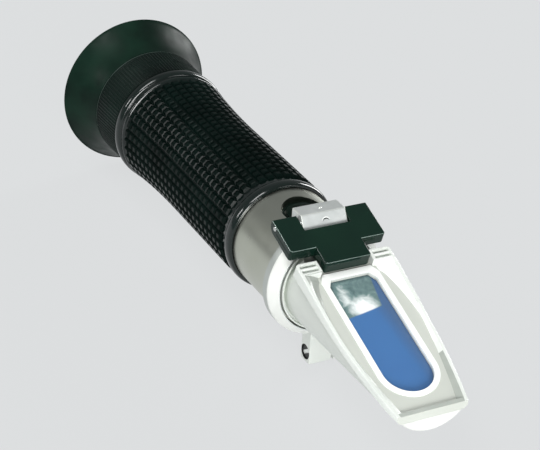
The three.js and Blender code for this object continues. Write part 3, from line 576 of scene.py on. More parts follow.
class Shape:
    """A mesh in the making, in millimetres from the middle of the nose."""

    def __init__(self) -> None:
        """Starts with an empty mesh."""
        self.bm = bmesh.new()

    @classmethod
    def turned(cls, profile: Sequence[Point], steps: int = FINE_STEPS) -> "Shape":
        """Spins a profile about the barrel's axis.

        Args:
            profile: Stations and radii; one that starts off the axis is closed on itself.
            steps: Steps round the full turn.

        Returns:
            The closed shape.
        """
        shape = cls()
        verts = [shape.bm.verts.new((x, 0.0, r)) for x, r in profile]
        pairs = list(zip(verts, verts[1:]))
        if profile[0][1] > 0:
            pairs.append((verts[-1], verts[0]))
        geom = verts + [shape.bm.edges.new(pair) for pair in pairs]
        bmesh.ops.spin(
            shape.bm, geom=geom, cent=(0, 0, 0), axis=(1, 0, 0), angle=2 * math.pi, steps=steps,
            use_merge=True,
        )
        return shape.tidied()

    @classmethod
    def slab(cls, points: Sequence[Point], low: float, high: float, plane: Plane = Plane.FLAT) -> "Shape":
        """Draws an outline out to a slab.

        Args:
            points: Corners of the outline.
            low: Where the slab begins.
            high: Where it ends.
            plane: Plane of the outline.

        Returns:
            The closed shape.
        """
        shape = cls()
        flat = plane is Plane.FLAT
        corners = [(x, y, low) if flat else (x, low, y) for x, y in points]
        face = shape.bm.faces.new([shape.bm.verts.new(corner) for corner in corners])
        made = bmesh.ops.extrude_face_region(shape.bm, geom=[face])
        moved = [item for item in made["geom"] if isinstance(item, bmesh.types.BMVert)]
        reach = high - low
        bmesh.ops.translate(shape.bm, verts=moved, vec=(0, 0, reach) if flat else (0, reach, 0))
        return shape.tidied()

    @classmethod
    def box(cls, low: Place, high: Place) -> "Shape":
        """Makes a box.

        Args:
            low: Corner with the smallest coordinates.
            high: Corner with the largest coordinates.

        Returns:
            The closed shape.
        """
        shape = cls()
        size = Vector(high) - Vector(low)
        middle = Matrix.Translation((Vector(high) + Vector(low)) / 2)
        bmesh.ops.create_cube(shape.bm, size=1.0, matrix=middle @ Matrix.Diagonal((*size, 1.0)))
        return shape

    @classmethod
    def rod(cls, radius: float, start: Place, end: Place, steps: int = SMALL_STEPS) -> "Shape":
        """Makes a round rod between two points.

        Args:
            radius: Radius of the rod.
            start: Middle of one end.
            end: Middle of the other end.
            steps: Sides of the rod.

        Returns:
            The closed shape.
        """
        shape = cls()
        reach = Vector(end) - Vector(start)
        turn = reach.to_track_quat("Z", "Y").to_matrix().to_4x4()
        matrix = Matrix.Translation((Vector(start) + Vector(end)) / 2) @ turn
        bmesh.ops.create_cone(
            shape.bm, cap_ends=True, segments=steps, radius1=radius, radius2=radius, depth=reach.length,
            matrix=matrix,
        )
        return shape

    @classmethod
    def across(cls, radius: float, spot: Point, low: float, high: float, steps: int = SMALL_STEPS) -> "Shape":
        """Makes a round rod that lies across the barrel."""
        return cls.rod(radius, (spot[0], low, spot[1]), (spot[0], high, spot[1]), steps)

    @classmethod
    def swept(cls, rings: Sequence[Sequence[Place]]) -> "Shape":
        """Joins a row of outlines with equal numbers of corners into a closed shape.

        Args:
            rings: The outlines, each as a list of corners.

        Returns:
            The closed shape.
        """
        shape = cls()
        rows = [[shape.bm.verts.new(corner) for corner in ring] for ring in rings]
        count = len(rows[0])
        for first, second in zip(rows, rows[1:]):
            for j in range(count):
                k = (j + 1) % count
                shape.bm.faces.new((first[j], first[k], second[k], second[j]))
        shape.bm.faces.new(rows[0])
        shape.bm.faces.new(rows[-1])
        return shape.tidied()

    def tidied(self) -> "Shape":
        """Merges doubled corners and turns every face outward.

        Returns:
            The same shape.
        """
        bmesh.ops.remove_doubles(self.bm, verts=self.bm.verts, dist=MERGE)
        bmesh.ops.recalc_face_normals(self.bm, faces=self.bm.faces)
        return self

    def moved(self, matrix: Matrix) -> "Shape":
        """Moves the whole shape."""
        bmesh.ops.transform(self.bm, matrix=matrix, verts=self.bm.verts)
        return self

    def on_slope(self) -> "Shape":
        """Takes a shape drawn on the sloping face to its place."""
        return self.moved(LAYOUT.slope())

    def softened(
        self, width: float, segments: int = 2, degrees: float = 30.0, where: EdgeTest | None = None
    ) -> "Shape":
        """Rounds the sharp outward edges.

        Args:
            width: Width of the round.
            segments: Faces across the round.
            degrees: Angle from which an edge counts as sharp.
            where: Keeps only the edges that pass this test.

        Returns:
            The same shape.
        """
        limit = math.radians(degrees)
        edges = [e for e in self.bm.edges if len(e.link_faces) == 2 and e.is_convex]
        edges = [e for e in edges if e.calc_face_angle(0.0) > limit and (where is None or where(e))]
        bmesh.ops.bevel(
            self.bm, geom=edges, offset=width, offset_type="OFFSET", segments=segments, profile=0.5,
            affect="EDGES", material=-1, clamp_overlap=True,
        )
        return self

    def to_mesh(self, name: str) -> bpy.types.Mesh:
        """Writes the shape to a new mesh.

        Args:
            name: Name of the mesh.

        Returns:
            The mesh.
        """
        mesh = bpy.data.meshes.new(name)
        self.bm.to_mesh(mesh)
        return mesh

    def combined(self, join: Join, *tools: "Shape") -> "Shape":
        """Combines the shape with others, all of them closed.

        Args:
            join: Whether the others are added or cut away.
            tools: The other shapes, which are used up.

        Returns:
            The result as a new shape.
        """
        items = [bpy.data.objects.new("solid", shape.to_mesh("solid")) for shape in (self, *tools)]
        for item in items:
            bpy.context.scene.collection.objects.link(item)
        holder = items[0]
        for other in items[1:]:
            modifier = holder.modifiers.new("join", "BOOLEAN")
            modifier.object = other
            modifier.operation = join.value
            modifier.solver = "MANIFOLD"
        graph = bpy.context.evaluated_depsgraph_get()
        mesh = bpy.data.meshes.new_from_object(holder.evaluated_get(graph))
        result = Shape()
        result.bm.from_mesh(mesh)
        used = [item.data for item in items]
        for item in items:
            bpy.data.objects.remove(item)
        for old in (*used, mesh):
            bpy.data.meshes.remove(old)
        for shape in (self, *tools):
            shape.bm.free()
        result.bm.verts.sort(key=lambda v: v.co.dot(ORDER))
        result.bm.edges.sort(key=lambda e: edge_middle(e).dot(ORDER))
        result.bm.faces.sort(key=lambda f: f.calc_center_median().dot(ORDER))
        bmesh.ops.remove_doubles(result.bm, verts=result.bm.verts, dist=MERGE)
        bmesh.ops.dissolve_limit(
            result.bm, angle_limit=FLAT, verts=result.bm.verts, edges=result.bm.edges, delimit={"MATERIAL"}
        )
        return result

    def faces_where(self, test: FaceTest) -> list[Face]:
        """Picks faces."""
        return [face for face in self.bm.faces if test(face)]

    def paint(self, number: int, test: FaceTest) -> None:
        """Gives faces another finish."""
        for face in self.faces_where(test):
            face.material_index = number


@dataclass(frozen=True)
class Piece:
    """How a finished shape joins the model."""

    name: str
    body: Body
    finish: Finish
    slot: Slot
    replaces: tuple[str, ...] = ()
    sharp: float = 38.0
    weighted: bool = True

    def place(self, shape: Shape, more: Iterable[Finish] = ()) -> None:
        """Puts a shape into the scene at its place in the row frame.

        Args:
            shape: The finished shape, which is used up.
            more: Further finishes, for faces with numbers above zero.
        """
        limit = math.radians(self.sharp)
        for face in shape.bm.faces:
            face.smooth = True
        for edge in shape.bm.edges:
            edge.smooth = len(edge.link_faces) == 2 and edge.calc_face_angle(0.0) < limit
        mesh = shape.moved(LAYOUT.row()).to_mesh(self.name)
        shape.bm.free()
        item = bpy.data.objects.new(self.name, mesh)
        bpy.context.scene.collection.objects.link(item)
        for finish in (self.finish, *more):
            mesh.materials.append(finish.build())
        if self.weighted:
            modifier = item.modifiers.new("normals", "WEIGHTED_NORMAL")
            modifier.keep_sharp = True
        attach(item, self.body.value)
        if self.replaces:
            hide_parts(*self.replaces)
        LOG.info("%s: %d faces on %s", self.name, len(mesh.polygons), self.body.value)


@dataclass
class EyeEnd:
    """Eyecup and the checkered focusing ring that carries it."""

    rim_x: float = -168.4
    rim_radius: float = 22.0
    horn_x: float = -156.7
    horn_radius: float = 16.6
    wall: float = 1.7
    floor_x: float = -159.2
    spigot_radius: float = 12.75
    ring_front: float = -143.9
    ring_rear: float = -156.4
    ring_front_radius: float = 16.15
    ring_bore: float = 13.2
    web_x: float = -155.2
    sleeve_rear: float = -160.0
    sleeve_radius: float = 12.6
    sleeve_bore: float = 10.8
    plain: float = 0.55
    check_rows: int = 14
    check_columns: int = 112
    check_height: float = 0.3
    flare_steps: int = 18

    def flank(self, share: float) -> Point:
        """Finds a point on the horn's outside."""
        radius = self.horn_radius + (self.rim_radius - self.horn_radius) * (share + share**2) / 2
        return (self.horn_x + (self.rim_x - self.horn_x) * share, radius)

    def horn(self) -> Shape:
        """Builds the flared cup with its rounded rim and inner funnel.

        Returns:
            The closed cup.
        """
        shares = [i / self.flare_steps for i in range(self.flare_steps)]
        inner = []
        for share in shares:
            x, r = self.flank(0.94 - 0.72 * share)
            inner.append((x, r - self.wall * (0.62 + 0.38 * share)))
        rim_x, rim = self.rim_x, self.rim_radius
        profile = [self.flank(share) for share in shares]
        profile += [(rim_x + 0.35, rim), (rim_x, rim - 0.3), (rim_x, rim - 0.75), *inner]
        profile += [(self.floor_x, inner[-1][1] - 0.25), (self.floor_x, self.spigot_radius)]
        return Shape.turned([*profile, (self.horn_x, self.spigot_radius)]).softened(0.14, 2, 35)

    def radius(self, x: float) -> float:
        """Finds the focusing ring's radius."""
        rise = (self.horn_radius - self.ring_front_radius) / (self.ring_front - self.ring_rear)
        return self.ring_front_radius + (self.ring_front - x) * rise

    def ring(self) -> Shape:
        """Builds the focusing ring with rows of small checks between two plain edges.

        Returns:
            The closed ring.
        """
        front, rear = self.ring_front, self.ring_rear
        start, end = front - self.plain, rear + self.plain
        rows = [start + (end - start) * i / self.check_rows for i in range(self.check_rows + 1)]
        profile = [(front, self.ring_bore), (front, self.radius(front) - 0.3)]
        profile += [(front - 0.3, self.radius(start)), *[(x, self.radius(x) - 0.12) for x in rows]]
        profile += [(rear + 0.3, self.radius(end) + 0.12), (rear, self.radius(end) + 0.05)]
        profile += [(rear, self.sleeve_radius), (self.sleeve_rear, self.sleeve_radius)]
        profile += [(self.sleeve_rear, self.sleeve_bore), (self.web_x, self.sleeve_bore)]
        shape = Shape.turned([*profile, (self.web_x, self.ring_bore)], self.check_columns)
        outside = shape.faces_where(lambda f: f.calc_center_median().yz.length > 15)
        checks = [f for f in outside if end - 0.01 < f.calc_center_median().x < start + 0.01]
        bmesh.ops.inset_individual(shape.bm, faces=checks, thickness=0.1, depth=0.0)
        bmesh.ops.poke(shape.bm, faces=checks, offset=self.check_height)
        # The faces along the rear edge take a pale painted highlight.
        shape.paint(1, self.on_painted_highlight_line)
        return shape

    def on_painted_highlight_line(self, face: Face) -> bool:
        """Tells whether a face of the ring lies in the line beside the cup that carries a painted highlight.
        """
        middle = face.calc_center_median()
        return middle.x < self.ring_rear + 0.35 and middle.yz.length > self.ring_front_radius

    def build(self) -> None:
        """Places the cup and the ring."""
        Piece("eyecup_horn", Body.FOCUSING, CUP_RUBBER, Slot.RUBBER, ("eyecup",)).place(self.horn())
        name, replaced = "focusing_ring_checkered", ("focus_ring",)
        ring = Piece(name, Body.FOCUSING, KNURL_RUBBER, Slot.RUBBER, replaced, 20.0, False)
        ring.place(self.ring(), [HIGHLIGHT_RUBBER])


@dataclass
class Grip:
    """Rubber sleeve with its rows of pyramids between two smooth cuffs."""

    rear: float = -143.4
    front: float = -73.4
    radius: float = 15.0
    rear_radius: float = 16.8
    flare_end: float = -112.0
    texture_rear: float = -138.0
    texture_front: float = -78.7
    pyramid: float = 0.75
    rows_around: int = 38
    rows_along: int = 24
    bore: float = 13.95
    bead: float = 3.0

    def surface(self, x: float) -> float:
        """Finds the radius over the tops of the pyramids."""
        share = max(0.0, (self.flare_end - x) / (self.flare_end - self.rear))
        return self.radius + (self.rear_radius - self.radius) * share**2

    def pyramids(self) -> Shape:
        """Builds the textured band: one raised, blunt pyramid in each cell of a turned tube.

        Returns:
            The closed band.
        """
        step = (self.texture_front - self.texture_rear) / self.rows_along
        stations = [self.texture_rear + step * i for i in range(self.rows_along + 1)]
        chord = 1 / math.cos(math.pi / self.rows_around)
        outer = [(x, (self.surface(x) - self.pyramid) * chord) for x in stations]
        shape = Shape.turned([(stations[0], self.bore), *outer, (stations[-1], self.bore)], self.rows_around)
        outside = shape.faces_where(lambda f: f.calc_center_median().yz.length > self.bore + 0.2)
        cells = [face for face in outside if abs(face.normal.x) < 0.7]
        for thickness, share in ((0.17, 0.0), (0.52, 0.84), (0.22, 0.14)):
            bmesh.ops.inset_individual(shape.bm, faces=cells, thickness=thickness, depth=self.pyramid * share)
        return shape

    def rear_cuff(self) -> Shape:
        """Builds the round bead, the groove and the thin rib behind the pyramids.

        Returns:
            The closed cuff.
        """
        half, deep = self.bead / 2, self.rear_radius - 0.75
        crown = arc((self.rear + half, deep), (-half, 0.75), 0, 1, 12)
        rib_x, foot = self.texture_rear - 0.45, self.texture_rear + 0.5
        rib = arc((rib_x, self.surface(rib_x) - 0.35), (-0.5, 0.45), 0, 1, 8)
        profile = [(self.rear, self.bore), *crown, (self.rear + self.bead + 0.3, deep - 0.15), *rib]
        profile += [(foot, self.surface(self.texture_rear) - self.pyramid - 0.1), (foot, self.bore)]
        return Shape.turned(profile)

    def front_lip(self) -> Shape:
        """Builds the smooth rolled lip in front of the pyramids.

        Returns:
            The closed lip.
        """
        start, under = self.texture_front, self.radius - 0.62
        profile = [(start - 0.4, self.bore), (start - 0.4, self.radius - self.pyramid - 0.1)]
        profile += [(start + 0.2, self.radius - self.pyramid - 0.02), (start + 1.0, under)]
        profile += [(start + 1.7, self.radius - 0.58)]
        profile += arc((self.front - 1.7, under), (-1.62, 0.6), 0.08, 0.98, 14)
        return Shape.turned([*profile, (self.front, self.radius - 1.0), (self.front, self.bore)])

    def build(self) -> None:
        """Places the three parts of the sleeve."""
        sleeve = ("grip_sleeve",)
        band = Piece("grip_pyramids", Body.BARREL, GRIP_RUBBER, Slot.RUBBER, sleeve, 12.0, False)
        band.place(self.pyramids())
        for name, shape in (("grip_rear_cuff", self.rear_cuff()), ("grip_front_lip", self.front_lip())):
            Piece(name, Body.BARREL, LIP_RUBBER, Slot.RUBBER, sleeve).place(shape)


@dataclass
class Barrel:
    """Turned aluminium tube with the recess for the calibration plug."""

    neck_rear: float = -151.05
    neck_front: float = -143.25
    neck_radius: float = 12.9
    neck_bore: float = 11.9
    neck_floor: float = -120.0
    shoulder: float = -115.3
    front: float = -51.0
    spigot_x: float = -54.4
    spigot_radius: float = 12.95
    bore: float = 10.25
    recess_x: float = -63.4
    recess_radius: float = 5.6
    recess_front: float = -55.4
    recess_floor: float = 11.9
    seat_radius: float = 2.9
    plug_radius: float = 4.5
    plug_bore: float = 3.3
    plug_ceiling: float = 12.7
    plug_top: float = 13.45

    def upright(self, radius: float) -> Shape:
        """Builds an upright rod in the middle of the recess."""
        return Shape.rod(radius, (self.recess_x, 0, 0), (self.recess_x, 0, LAYOUT.tube))

    def recess_slab(self, inset: float, high: float) -> Shape:
        """Builds a slab that fills the recess from its floor.

        Args:
            inset: Room left along the wall.
            high: Top of the slab.

        Returns:
            The closed slab.
        """
        front, reach = self.recess_front - inset, self.recess_radius - inset
        arch = arc((self.recess_x, 0), (reach, reach), 0.5, 1.5, 24)
        return Shape.slab([(front, reach), *arch, (front, -reach)], self.recess_floor, high)

    def tube(self) -> Shape:
        """Builds the tube, its steps and the recess on top.

        Returns:
            The closed tube.
        """
        profile = [(self.neck_rear, self.neck_bore), (self.neck_rear, self.neck_radius)]
        profile += [(self.neck_front, self.neck_radius), (self.neck_front, LAYOUT.tube)]
        profile += [(self.spigot_x, LAYOUT.tube), (self.spigot_x, self.spigot_radius)]
        profile += [(self.front, self.spigot_radius), (self.front, self.bore), (self.shoulder, self.bore)]
        profile += [(self.neck_floor, self.bore), (self.neck_floor, self.neck_bore)]
        cuts = (self.recess_slab(0.0, LAYOUT.tube + 1), self.upright(self.seat_radius))
        return Shape.turned(profile).combined(Join.CUT, *cuts).softened(0.14, 2, 35, self.round_recess)

    def round_recess(self, edge: Edge) -> bool:
        """Tells whether an edge runs round the mouth of the recess.

        Args:
            edge: Edge of the tube.

        Returns:
            True for an edge of the recess.
        """
        place = edge_middle(edge)
        rear = self.recess_x - self.recess_radius - 1.0
        return place.z > self.recess_floor - 0.5 and rear < place.x < self.recess_front + 0.4

    def recess_shade_pad(self) -> Shape:
        """Builds the thin black pad that darkens the floor of the recess as painted shade."""
        pad = self.recess_slab(0.12, self.recess_floor + 0.22)
        return pad.combined(Join.CUT, self.upright(self.plug_radius + 0.15)).softened(0.06, 2)

    def plug(self) -> Shape:
        """Builds the domed rubber plug over the calibration screw.

        Returns:
            The closed plug.
        """
        low, top = self.recess_floor + 0.3, self.plug_top
        profile = [(top, 0.0), (top - 0.04, 1.4), (top - 0.2, 2.8), (top - 0.5, 3.8), (top - 0.85, 4.3)]
        profile += [(low + 0.15, self.plug_radius), (low, self.plug_radius), (low, self.plug_bore)]
        profile += [(self.plug_ceiling, self.plug_bore), (self.plug_ceiling, 0.0)]
        upright = Matrix.Translation((self.recess_x, 0, 0)) @ Matrix.Rotation(-math.pi / 2, 4, "Y")
        return Shape.turned(profile, PLAIN_STEPS).moved(upright).tidied()

    def build(self) -> None:
        """Places the tube, the pad and the plug."""
        tube = Piece("barrel_tube_turned", Body.BARREL, BARREL_ALUMINIUM, Slot.SILVER, ("barrel_tube",))
        tube.place(self.tube())
        Piece("recess_shade_pad", Body.BARREL, CUP_RUBBER, Slot.RUBBER).place(self.recess_shade_pad())
        Piece("calibration_plug", Body.CAP, CUP_RUBBER, Slot.RUBBER, ("calibration_cap",)).place(self.plug())


@dataclass
class Collar:
    """Cast collar with the hinge knuckle on top and the clamping lug below."""

    bore: float = 13.1
    slope_x: float = -51.7
    face_radius: float = 13.35
    knuckle_rear: float = -58.7
    knuckle_top: float = 17.1
    knuckle_nose: float = -54.3
    knuckle_under: float = 14.1
    toe_x: float = -52.4
    toe_z: float = 13.9
    lug_rear: float = -53.6
    lug_left: float = -3.65
    lug_right: float = 6.0
    slit_left: float = 2.5
    slit_width: float = 0.8
    screw_spot: Point = (-51.4, -20.1)
    screw_radius: float = 1.9
    slot_turn: float = -36.0

    def ring(self) -> Shape:
        """Builds the ring with its chamfered rear edge and sloping front.

        Returns:
            The closed ring.
        """
        outer, front, rear = LAYOUT.collar_radius, LAYOUT.collar_front, LAYOUT.collar_rear
        profile = [(rear, self.bore), (rear, outer - 0.3), (rear + 0.3, outer), (self.slope_x, outer)]
        profile += [(self.slope_x + 0.5, outer - 0.22), (front - 0.1, self.face_radius + 0.12)]
        return Shape.turned([*profile, (front, self.face_radius), (front, self.bore)])

    def knuckle(self) -> Shape:
        """Builds the knuckle block with its rounded edges.

        Returns:
            The closed block.
        """
        half, foot, inner = LAYOUT.knuckle_half, self.toe_z - 0.4, LAYOUT.collar_rear + 0.5
        outline = [(self.knuckle_rear, self.knuckle_under), (self.knuckle_rear, self.knuckle_top)]
        outline += [(self.knuckle_nose, self.knuckle_top), (self.toe_x, self.toe_z), (self.toe_x - 0.1, foot)]
        outline += [(inner, foot), (inner, self.knuckle_under)]
        return Shape.slab(outline, -half, half, Plane.SIDE).softened(0.4, 3, 30, self.high_edge)

    def high_edge(self, edge: Edge) -> bool:
        """Tells whether an edge of the knuckle stands clear of the ring."""
        return edge_middle(edge).z > self.toe_z + 0.4

    def low_edge(self, edge: Edge) -> bool:
        """Tells whether an edge belongs to the lug."""
        return edge_middle(edge).z < -self.bore - 0.5

    def web_room(self) -> Shape:
        """Builds the room that the flap's web needs when it swings.

        Returns:
            A box on the sloping face, in its place.
        """
        seat = LAYOUT.knuckle_half + 2 * LAYOUT.gap
        front = LAYOUT.pin_in_face + LAYOUT.web_reach - LAYOUT.gap
        return Shape.box((front, -seat, -2.4), (front + 7, seat, 4.5)).on_slope()

    def casting(self) -> Shape:
        """Joins ring, knuckle and lug, and cuts the room for the flap, the slit and the holes.

        Returns:
            The whole casting.
        """
        seat = LAYOUT.knuckle_half + 2 * LAYOUT.gap
        foot = (self.lug_rear, self.lug_left, -LAYOUT.lug_drop)
        root = (LAYOUT.collar_front - 0.03, self.lug_right, -self.bore - 0.35)
        lug = Shape.box(foot, root).softened(0.35, 3)
        beyond, under = LAYOUT.collar_front + LAYOUT.gap, self.toe_z - 0.03
        slope = [(self.knuckle_nose - 0.03, self.knuckle_top), (self.toe_x - 0.03, under)]
        slope += [(beyond, under), (beyond, self.knuckle_top)]
        front = (Shape.slab(slope, -seat, seat, Plane.SIDE), self.web_room())
        swing, pin = LAYOUT.hinge_round + LAYOUT.gap, (LAYOUT.pin_x, LAYOUT.pin_z)
        reach = (self.lug_right, LAYOUT.collar_radius)
        cuts = [Shape.across(swing, pin, *sorted(side * y for y in reach), 48) for side in (-1, 1)]
        cuts.append(Shape.box((-55, self.slit_left, -24), (-48, self.slit_left + self.slit_width, 0)))
        cuts.append(Shape.across(self.screw_radius + 0.1, self.screw_spot, -5, self.lug_left + 2.4, 40))
        cuts.append(Shape.across(1.25, self.screw_spot, -5, 7))
        ring = self.ring().combined(Join.CUT, *front)
        knuckle = self.knuckle().combined(Join.CUT, self.web_room())
        whole = ring.combined(Join.ADD, knuckle, lug)
        return whole.combined(Join.CUT, *cuts).softened(0.12, 2, 42, self.low_edge)

    def mark(self, middle: Place, radius: float, sweep: float) -> Shape:
        """Builds a thin crescent left by an ejector pin on the knuckle's slope.

        Args:
            middle: Centre of the crescent's arc.
            radius: Radius of the arc.
            sweep: Length of the arc, in radians.

        Returns:
            A slender bent rib, open towards the nose.
        """
        steps, sides, thickness = 16, 8, 0.13
        down = Vector((self.toe_x - self.knuckle_nose, 0, self.toe_z - self.knuckle_top)).normalized()
        out = Vector((-down.z, 0, down.x))
        rings = []
        for i in range(steps + 1):
            share = i / steps - 0.5
            radial = Vector((0, 1, 0)) * math.sin(sweep * share) - down * math.cos(sweep * share)
            thin = thickness * (0.25 + 0.75 * math.cos(math.pi * share))
            heart = Vector(middle) + radial * radius
            turns = [2 * math.pi * k / sides for k in range(sides)]
            rings.append([tuple(heart + (radial * math.cos(t) + out * math.sin(t)) * thin) for t in turns])
        return Shape.swept(rings)

    def screw(self) -> Shape:
        """Builds the slotted clamping screw, with the floor of its slot marked for a painted highlight.

        Returns:
            The screw in its place in the lug.
        """
        face, under = self.lug_left + 0.3, self.lug_left + 2.1
        floor = face + 0.2
        head = Shape.across(self.screw_radius - 0.05, self.screw_spot, face, under, 40)
        shank = Shape.across(1.1, self.screw_spot, under - 0.3, self.lug_right - 0.3)
        slot = Shape.box((-4, face - 1, -0.5), (4, floor, 0.5))
        middle = Matrix.Translation((self.screw_spot[0], 0, self.screw_spot[1]))
        slot.moved(middle @ Matrix.Rotation(math.radians(self.slot_turn), 4, "Y"))
        whole = head.softened(0.25, 3).combined(Join.ADD, shank).combined(Join.CUT, slot)
        # The slot's floor takes a white painted highlight.
        whole.paint(1, lambda f: abs(f.calc_center_median().y - floor) < 0.1 and f.normal.y < -0.9)
        return whole

    def painted_highlight(self, face: Face) -> bool:
        """Tells whether a face of the casting takes a painted highlight: its slope, its rounded edges and the
        lug.

        Args:
            face: Face of the casting.

        Returns:
            True for a face with a painted highlight.
        """
        place, facing = face.calc_center_median(), face.normal
        if place.z < -self.bore - 0.5:
            return True
        if place.z > self.toe_z and abs(place.y) <= LAYOUT.knuckle_half and place.x < self.toe_x:
            run = Vector((self.knuckle_top - self.toe_z, 0, self.toe_x - self.knuckle_nose)).normalized()
            flats = (Vector((0, 0, 1)), run, Vector((0, 1, 0)), Vector((0, -1, 0)), Vector((-1, 0, 0)))
            return all(facing.dot(flat) < 0.985 for flat in flats)
        on_slope = facing.x > 0.3 and place.x > self.slope_x
        rear_edge = place.x < LAYOUT.collar_rear + 0.3 and facing.x > -0.98
        return place.yz.length > self.bore and (on_slope or rear_edge)

    def in_hole(self, face: Face) -> bool:
        """Tells whether a face belongs to the wall or floor of the screw's hole.

        Args:
            face: Face of the casting.

        Returns:
            True inside the hole.
        """
        place = face.calc_center_median()
        reach = math.dist((place.x, place.z), self.screw_spot)
        return reach < self.screw_radius + 0.25 and self.lug_left + 0.1 < place.y < self.lug_left + 2.6

    def in_band(self, face: Face) -> bool:
        """Tells whether a face belongs to the turned outer band of the ring.

        Args:
            face: Face of the casting.

        Returns:
            True on the ring's outside, between its rear edge and its slope.
        """
        place = face.calc_center_median()
        level = LAYOUT.collar_rear + 0.3 < place.x < self.slope_x and abs(face.normal.x) < 0.3
        on_ring = -self.bore - 1 < place.z < self.toe_z
        return level and on_ring and place.yz.length > LAYOUT.collar_radius - 0.2

    def on_bevel(self, face: Face) -> bool:
        """Tells whether a face with a painted highlight belongs to the ring's front slope."""
        on_ring = -self.bore - 1 < face.calc_center_median().z < self.toe_z
        return face.material_index == 1 and face.normal.x > 0.3 and on_ring

    def build(self) -> None:
        """Places the casting, its small marks and the screw."""
        casting = self.casting()
        # Painted light and shade on the casting: one is a painted highlight on the rear edge, the rounded
        # edges and the lug, two is painted shade in the screw's hole, three is painted shade on the outer
        # band and four is a brighter painted highlight on the front slope.
        for number, test in enumerate((self.painted_highlight, self.in_hole, self.in_band, self.on_bevel), 1):
            casting.paint(number, test)
        collar = Piece("hinge_collar_cast", Body.BARREL, CAST_SILVER, Slot.SILVER, ("hinge_collar",))
        collar.place(casting, [HEAD_NICKEL_AND_HIGHLIGHT, BLACK_ANODISED_AND_SHADE, SHADED_BAND_SILVER, PAINTED_LIGHT_NICKEL])
        # The dot takes the brighter head nickel as a painted glint.
        dot = Shape()
        middle = Matrix.Translation((-56.3, 0.2, self.knuckle_top - 0.3))
        bmesh.ops.create_uvsphere(dot.bm, u_segments=24, v_segments=12, radius=0.5, matrix=middle)
        # The crescent's two ribs are painted: the white one as a painted highlight, the black one as painted
        # shade.
        painted_highlight = self.mark((-53.0, 0.35, 14.95), 1.1, 2.4)
        shaded = self.mark((-52.93, 0.35, 14.8), 0.95, 2.3)
        Piece("knuckle_dot", Body.BARREL, HEAD_NICKEL_AND_HIGHLIGHT, Slot.SILVER).place(dot)
        Piece("knuckle_crescent", Body.BARREL, HIGHLIGHT_WHITE_METAL, Slot.SILVER).place(painted_highlight)
        Piece("knuckle_crescent_shaded", Body.BARREL, BLACK_ANODISED_AND_SHADE, Slot.SILVER).place(shaded)
        screw = Piece("clamp_screw_slotted", Body.BARREL, SHADED_SCREW_STEEL, Slot.STEEL, ("clamp_screw",))
        screw.place(self.screw(), [HIGHLIGHT_WHITE_METAL])


